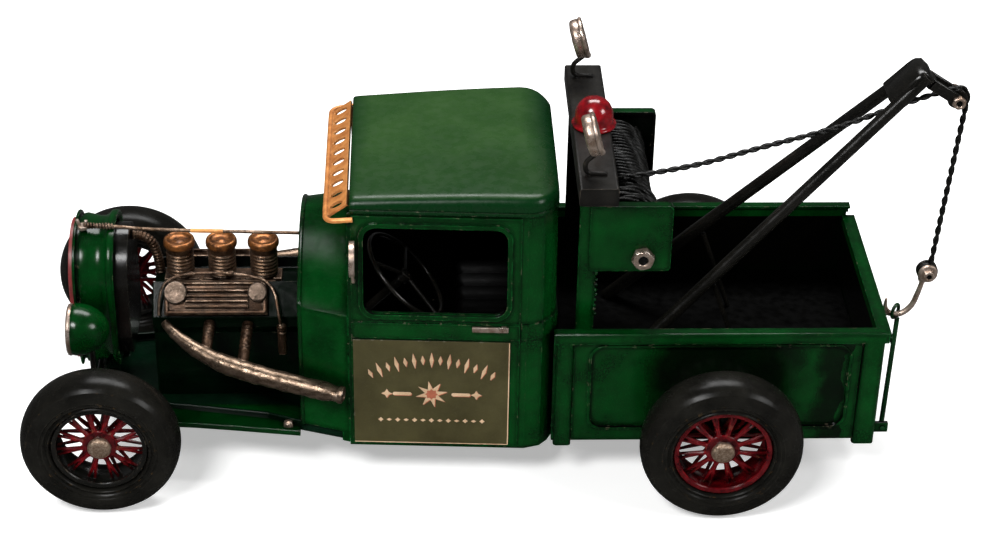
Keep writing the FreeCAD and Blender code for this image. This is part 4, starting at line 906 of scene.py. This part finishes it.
def door_signs():
    """Olive panels with a pale edge and a plain painted ornament: an arch, a star and a row of dots."""
    bm = bmesh.new()
    olive_top, cream, orange = 1.095, 1, 2
    middle, height = 29.1, 22.6
    lean = atan2(3.0, 62.0)
    for side in (-1, 1):
        along = Vector((cos(lean), side * sin(lean), 0))
        normal = Vector((-sin(lean), side * cos(lean), 0))
        place = workspace(spot(87, side * 43, 17.6), facing(along, UPRIGHT, normal))

        def paint(points, top, slot, foot=0.0):
            """A thin raised shape, from its outline in the sign's plane."""
            loops = [[place @ Vector((u, v, olive_top + level)) for u, v in points] for level in (foot, top)]
            for face in rings(bm, loops, slot):
                face.smooth = False

        block(bm, (1.7, 1.0, 0.74), (56.5, 45.2, 1.09), 0, 0.08, place)
        for low, high in (((1.75, 1.05), (56.45, 1.4)), ((56.1, 1.05), (56.45, 45.1))):
            paint([low, (high[0], low[1]), high, (low[0], high[1])], 0.04, cream)
        for index in range(15):
            share = index / 14 * 2 - 1
            turn = -share * 0.42 + pi / 2
            u, v = middle + 21.5 * share, 37.2 - 6.2 * share * share
            long = 3.3 if index % 2 else 2.0
            paint(star(u + 0.18, v - 0.18, long, 0.75, 2, turn), 0.05, orange)
            paint(star(u, v, long, 0.7, 2, turn), 0.1, cream)
        for shift, top, tone in ((0.25, 0.05, orange), (0.0, 0.1, cream)):
            v = height - shift
            paint(star(middle + shift, v, 5.6, 2.3, 8, 0.1963), top, tone)
            for end in (-1, 1):
                paint(bar(middle + end * 10.4 + shift, v, 6.6, 1.3), top, tone)
                paint(star(middle + end * 15.8 + shift, v, 1.9, 0.9, 4), top, tone)
        paint(star(middle, height, 2.3, 1.6, 8), 0.16, orange, 0.1)
        for index in range(13):
            paint(star(11.1 + 3.0 * index, 11.2, 0.95, 0.6, 2 if index % 2 else 4), 0.08, cream)
    piece("ornament_signs", bm, "truck", ["olive", "cream", "orange"], ["door_signs"], 20)


# ---------------------------------------------------------------- lamps

def beacon():
    """Red dome with a rounded flange."""
    outline = [(0, 0), (7.5, 0), (7.85, 0.25), (7.9, 0.7), (7.6, 1.05), (7.0, 1.25), (6.75, 1.9), (6.8, 3.2),
        (6.75, 4.4), (6.4, 6.0), (5.6, 7.7), (4.3, 9.2), (2.6, 10.2), (1.2, 10.55), (0, 10.6)]
    bm = bmesh.new()
    lathe(bm, outline, spot(173.3, 0, 123.71), UPRIGHT)
    piece("red_dome", bm, "truck", ["lens"], ["beacon"], 60)


def work_lamps():
    """Two thick round lamps that lean back, each with a rolled bezel and a knob below."""
    lean = radians(16)
    axis = Vector((cos(lean), 0, sin(lean)))
    upward = Vector((-sin(lean), 0, cos(lean)))
    bm = bmesh.new()
    outline = [(0, -2.3), (4.0, -2.25), (6.3, -2.0), (7.0, -1.4), (7.2, -0.4), (7.2, 0.9), (7.0, 1.2), (7.5, 1.5),
        (7.6, 2.0), (7.4, 2.5), (6.6, 2.55), (6.0, 2.1), (0, 1.9)]
    for side in (-1, 1):
        centre = spot(169.6, side * 35.6, 139.2)
        lathe(bm, outline, centre, axis, 48)
        knob = [(0, -1.3), (0.9, -1.0), (1.25, 0), (0.9, 1.0), (0, 1.3)]
        lathe(bm, knob, centre - upward * 7.4 * MM + axis * 1.6 * MM, axis, 16)
    roughen(bm, 500, 0.00012)
    piece("leaning_lamps", bm, "truck", ["steel"], ["work_lamps"], 55)


# ---------------------------------------------------------------- rope and hook

TIP = (300.4, 0, 134.5)
DRUM = (183.5, 0, 98.5)


def rope(name, route, body, sides=8, step=0.7, twist=8.4):
    """Two strands twisted round the route's own line; also the points of that line."""
    path = evenly(smooth_line(route), step * MM)
    bm = bmesh.new()
    frames = transported(path)
    for phase in (0, pi):
        strand = []
        for index, (point, ahead, first, second) in enumerate(frames):
            turn = tau * index * step / twist + phase
            strand.append(point + (first * cos(turn) + second * sin(turn)) * 0.53 * MM)
        sweep(bm, strand, 0.61, sides)
    item = piece(f"twisted_{name}", bm, body, ["rope"], [name], 80)
    length = sum((b - a).length for a, b in zip(path, path[1:]))
    return item, path, length


def ropes():
    """Rope on the drum, from the drum over the sheave, and from the sheave to the hook block."""
    wrap = 3.9
    corner = wrap / cos(radians(27.75))

    def round_tip(turn, reach):
        return spot(TIP[0] + reach * cos(radians(turn)), 0, TIP[2] + reach * sin(radians(turn)))

    leave = round_tip(-4, wrap)
    run = [spot(182.5, -18.2, 112.75), spot(204, -14.9, 113.9), spot(232, -10.4, 120.4), spot(258, -6.2, 125.3),
        spot(281, -2, 132.65), round_tip(79.25, corner), round_tip(23.75, corner),
        leave + Vector((-0.13, 0, -1.9)) * MM]
    item, path, length = rope("rope_run", run, "truck")
    drop = [leave + Vector((-0.134, 0, -1.96)) * MM, spot(303.231, 0, 119.1), spot(299.5, 0, 66.0)]
    item, path, length = rope("rope_drop", drop, "hanging_rope")
    hook = tow_hook()
    hook_block()
    item, path, length = rope("rope_winding", drum_route(), "winch_drum", 6, 0.9, 21.8)


def drum_route():
    """Turns laid side by side along the drum, a few more back over them, and the last one climbing off."""
    steps = 14
    pitch = 2.27
    layers = []
    first = int(60.8 / pitch * steps)
    for step in range(first):
        y = 30.4 - pitch * step / steps
        layers.append((y, 10.4 if y > -13.6 else 9.5))
    second = int(5.0 * steps)
    for step in range(second):
        share = min(1, step / (0.6 * steps))
        layers.append((-30.4 + pitch * step / steps, 9.5 + 2.4 * share))
    last = steps + 2
    for step in range(last + 1):
        share = step / last
        layers.append((-30.4 + pitch * 5.0 + (12.2 - pitch * 5.0) * share, 11.9 + 2.35 * share ** 2))
    count = len(layers)
    route = []
    for index, (y, reach) in enumerate(layers):
        turn = tau * (index - count + 1) / steps - 0.07
        loose = 0.1 * noise.noise(Vector((index * 0.21, 3.1, 0)))
        route.append(spot(DRUM[0] + (reach + loose) * sin(turn), y, DRUM[2] + (reach + loose) * cos(turn)))
    return route


def nut(bm, centre, direction, flats, height, hole, turn=0.0):
    """Chamfered hexagon nut with a dark threaded hole, standing on centre."""
    first, second = axes(direction)
    ahead = direction.normalized()

    def loop(reach, up, hexagon=0.0):
        points = []
        for step in range(36):
            angle = tau * step / 36
            corner = flats / 2 / cos((angle % (pi / 3)) - pi / 6)
            size = (hexagon * corner + (1 - hexagon) * reach) * MM
            points.append(centre + (first * cos(angle + turn) + second * sin(angle + turn)) * size
                + ahead * up * MM)
        return points

    half = flats / 2
    rings(bm, [loop(half, 0, 1), loop(half, height - 0.5, 1), loop(half * 1.02, height - 0.12, 0.35),
        loop(half * 0.93, height), loop(hole * 1.2, height), loop(hole, height - 0.3)], 0, False)
    rings(bm, [loop(hole, height - 0.3), loop(hole * 0.96, height - 1.3), loop(0.01, height - 1.4)], 1, False)


def winch_bolts():
    """A nut on each face of both winch brackets."""
    bm = bmesh.new()
    for side in (-1, 1):
        out = ACROSS * side
        nut(bm, spot(189.2, side * 35.4, 90.8), out, 7.0, 2.9, 1.75, 0.2)
        nut(bm, spot(189.2, side * 34.1, 90.8), -out, 6.4, 1.9, 1.4)
    piece("bracket_nuts", bm, "truck", ["steel", "black"], ["winch_bolts"], 30)


def hook_block():
    """Round block that the rope ends on: a dark drum, a pale washer and a small nut."""
    bm = bmesh.new()
    centre = spot(298.5, 0, 62)
    lathe(bm, [(0, -1.3), (3.6, -1.3), (3.9, -0.9), (3.9, -0.3), (3.2, 0.1), (3.2, 0.6), (3.9, 1.0), (3.9, 1.6),
        (3.5, 1.9), (0, 1.9)], centre, ACROSS, 40, 1)
    lathe(bm, [(0, 1.9), (1.7, 1.9), (1.8, 2.1), (1.7, 2.8), (0, 2.9)], centre, ACROSS, 20)
    lathe(bm, [(0, -1.3), (3.45, -1.35), (3.6, -1.7), (3.45, -2.35), (3.0, -2.6), (0, -2.6)], centre, ACROSS, 40)
    nut(bm, centre - ACROSS * 2.6 * MM, -ACROSS, 4.0, 2.0, 0.95, 0.3)
    return piece("round_block", bm, "hanging_rope", ["steel", "black"], ["hook_block"], 35)


def boom_head():
    """Folded hood over the tube ends, and the fork with the tip's pin and nuts."""
    bm = bmesh.new()
    slope = workspace(spot(288, 0, 144.7), Matrix.Rotation(-atan2(108.7, 105.2), 4, "Y"))
    loops = []
    for run, half, top in ((-15, 6.6, 3.3), (-14.7, 7.05, 3.65), (-14, 7.2, 3.76), (-3.4, 7.2, 3.76),
            (-1.6, 7.1, 3.7), (-0.3, 6.7, 3.5), (0.6, 6.0, 3.1), (1.2, 5.2, 2.5), (1.42, 4.4, 1.8)):
        side = [(half - 0.5, 0.6), (half, 1.0), (half, top - 1.5), (half - 0.4, top - 0.55), (half - 1.3, top)]
        loops.append([slope @ Vector((run, y, z)) for y, z in side + [(-y, z) for y, z in reversed(side)]])
    rings(bm, loops)
    block(bm, (-0.9, -6.4, -2.6), (1.3, 6.4, 2.4), 0, 0.9, slope, 4)
    fork = workspace(spot(288.4, 0, 139.9), Matrix.Rotation(radians(33.1), 4, "Y"))
    for low in (2.5, -3.9):
        block(bm, (0, low, 0), (14, low + 1.4, 4.2), 0, 0.5, fork, 3)
        lathe(bm, [(0, low), (1.9, low), (2.1, low + 0.2), (2.1, low + 1.2), (1.9, low + 1.4), (0, low + 1.4)],
            spot(*TIP), ACROSS, 32)
    block(bm, (0, -3.9, 0), (1.6, 3.9, 4.2), 0, 0.4, fork, 2)
    lathe(bm, [(0, -4.4), (0.76, -4.4), (0.76, 4.4), (0, 4.4)], spot(*TIP), ACROSS, 20)
    piece("folded_head", bm, "truck", ["black"], ["boom_head"], 40)
    bm = bmesh.new()
    for side in (-1, 1):
        nut(bm, spot(*TIP) + ACROSS * side * 3.9 * MM, ACROSS * side, 4.3, 1.8, 1.15, 0.35)
    piece("tip_nuts", bm, "truck", ["steel", "black"], [], 30)


def solder():
    """Beads of solder where the near bracket and the bed meet the post."""
    bm = bmesh.new()
    for index in range(20):
        height = 66.5 + 2.05 * index
        wander = noise.noise_vector(Vector((index * 1.7, 0.4, 2.1)))
        reach = 0.55 + 0.5 * abs(wander.x)
        outline = [(0, -reach), (0.7 * reach, -0.7 * reach), (reach, 0), (0.7 * reach, 0.7 * reach), (0, reach)]
        lathe(bm, outline, spot(173.4 + wander.y, -34.2, height + wander.z), Vector((0.3, 1, 0.2)), 12)
    roughen(bm, 900, 0.0002)
    piece("solder_beads", bm, "truck", ["green"], [], 80)


def tow_hook():
    """Bent hook that thins to its point, hung from an eye under the block."""
    bm = bmesh.new()
    route = [(297.4, 58.4), (296.9, 55.6), (295.9, 51.4), (294.6, 46.6), (290.8, 42.9), (286.4, 43.2),
        (284.3, 46.4), (284.8, 50.0)]
    path = course([(x, 0, z) for x, z in route], 0.5)
    sweep(bm, path, lambda share: 0.9 + 0.2 * sin(pi * share) - 0.5 * max(0, share - 0.8) / 0.2, 14)
    eye = [spot(297.5 + 1.5 * cos(turn), 0, 58.9 + 1.5 * sin(turn))
        for turn in (tau * step / 16 for step in range(17))]
    sweep(bm, eye, 0.55, 10)
    return piece("bent_hook", bm, "hanging_rope", ["steel"], ["tow_hook"], 60)


# ---------------------------------------------------------------- CAD nodes that stay

CAD_LOOKS = {"engine": ["engine_block"], "green_dark": ["chassis_pan"], "green_cowl": ["cowl"],
    "green_cab": ["cab_body", "door_left", "door_right"], "green_bed": ["bed_side_left", "bed_side_right"],
    "green_gate": ["tailgate"], "green_winch": ["winch_brackets"], "green_post_painted_shade": ["light_bar_posts"],
    "black": ["front_axle", "rear_axle", "headlight_bar", "winch_drum", "boom_legs", "boom_stays", "tip_sheave",
    "steering_column", "steering_wheel", "radiator_core"], "black_bar": ["light_bar"], "interior": ["bed_floor"],
    "copper": ["sun_visor"], "bronze": ["intake_manifold"], "steel": ["radiator_cap", "door_handles",
    "wing_mirror"], "sling": ["tow_sling"],}
SOFTENED = {"light_bar": 0.5, "bed_side_left": 0.3, "bed_side_right": 0.3, "tailgate": 0.3, "winch_brackets": 0.8,
    "chassis_pan": 0.4, "light_bar_posts": 0.3, "cowl": 0.3, "engine_block": 0.6, "door_handles": 0.3}


def dress_frame():
    """Give the CAD nodes their finishes and soften the sharp edges of the plain ones."""
    for look, names in CAD_LOOKS.items():
        for name in names:
            mesh = nodes[name].data
            mesh.materials.clear()
            mesh.materials.append(LOOKS[look])
    for name, width in SOFTENED.items():
        weld = nodes[name].modifiers.new("weld", "WELD")
        weld.merge_threshold = 1e-6
        soft = nodes[name].modifiers.new("soft", "BEVEL")
        soft.width = width * MM
        soft.segments = 2
        soft.limit_method = "ANGLE"
        soft.angle_limit = radians(40)
        soft.harden_normals = True


LOOKS = looks()
camera()
studio()
ropes()
dress_frame()
for name, sizes in WHEELS.items():
    tyre(name, *sizes)
    wire_wheel(name, *sizes)
grille_shell()
grille_bars()
headlamps()
coolant_hose()
stay()
stacks()
valve_covers()
exhaust(-1, "exhaust_left")
exhaust(1, "exhaust_right")
oil_line()
pan_lip()
cowl_bead()
roof()
seat()
door_signs()
beacon()
work_lamps()
winch_bolts()
boom_head()
solder()
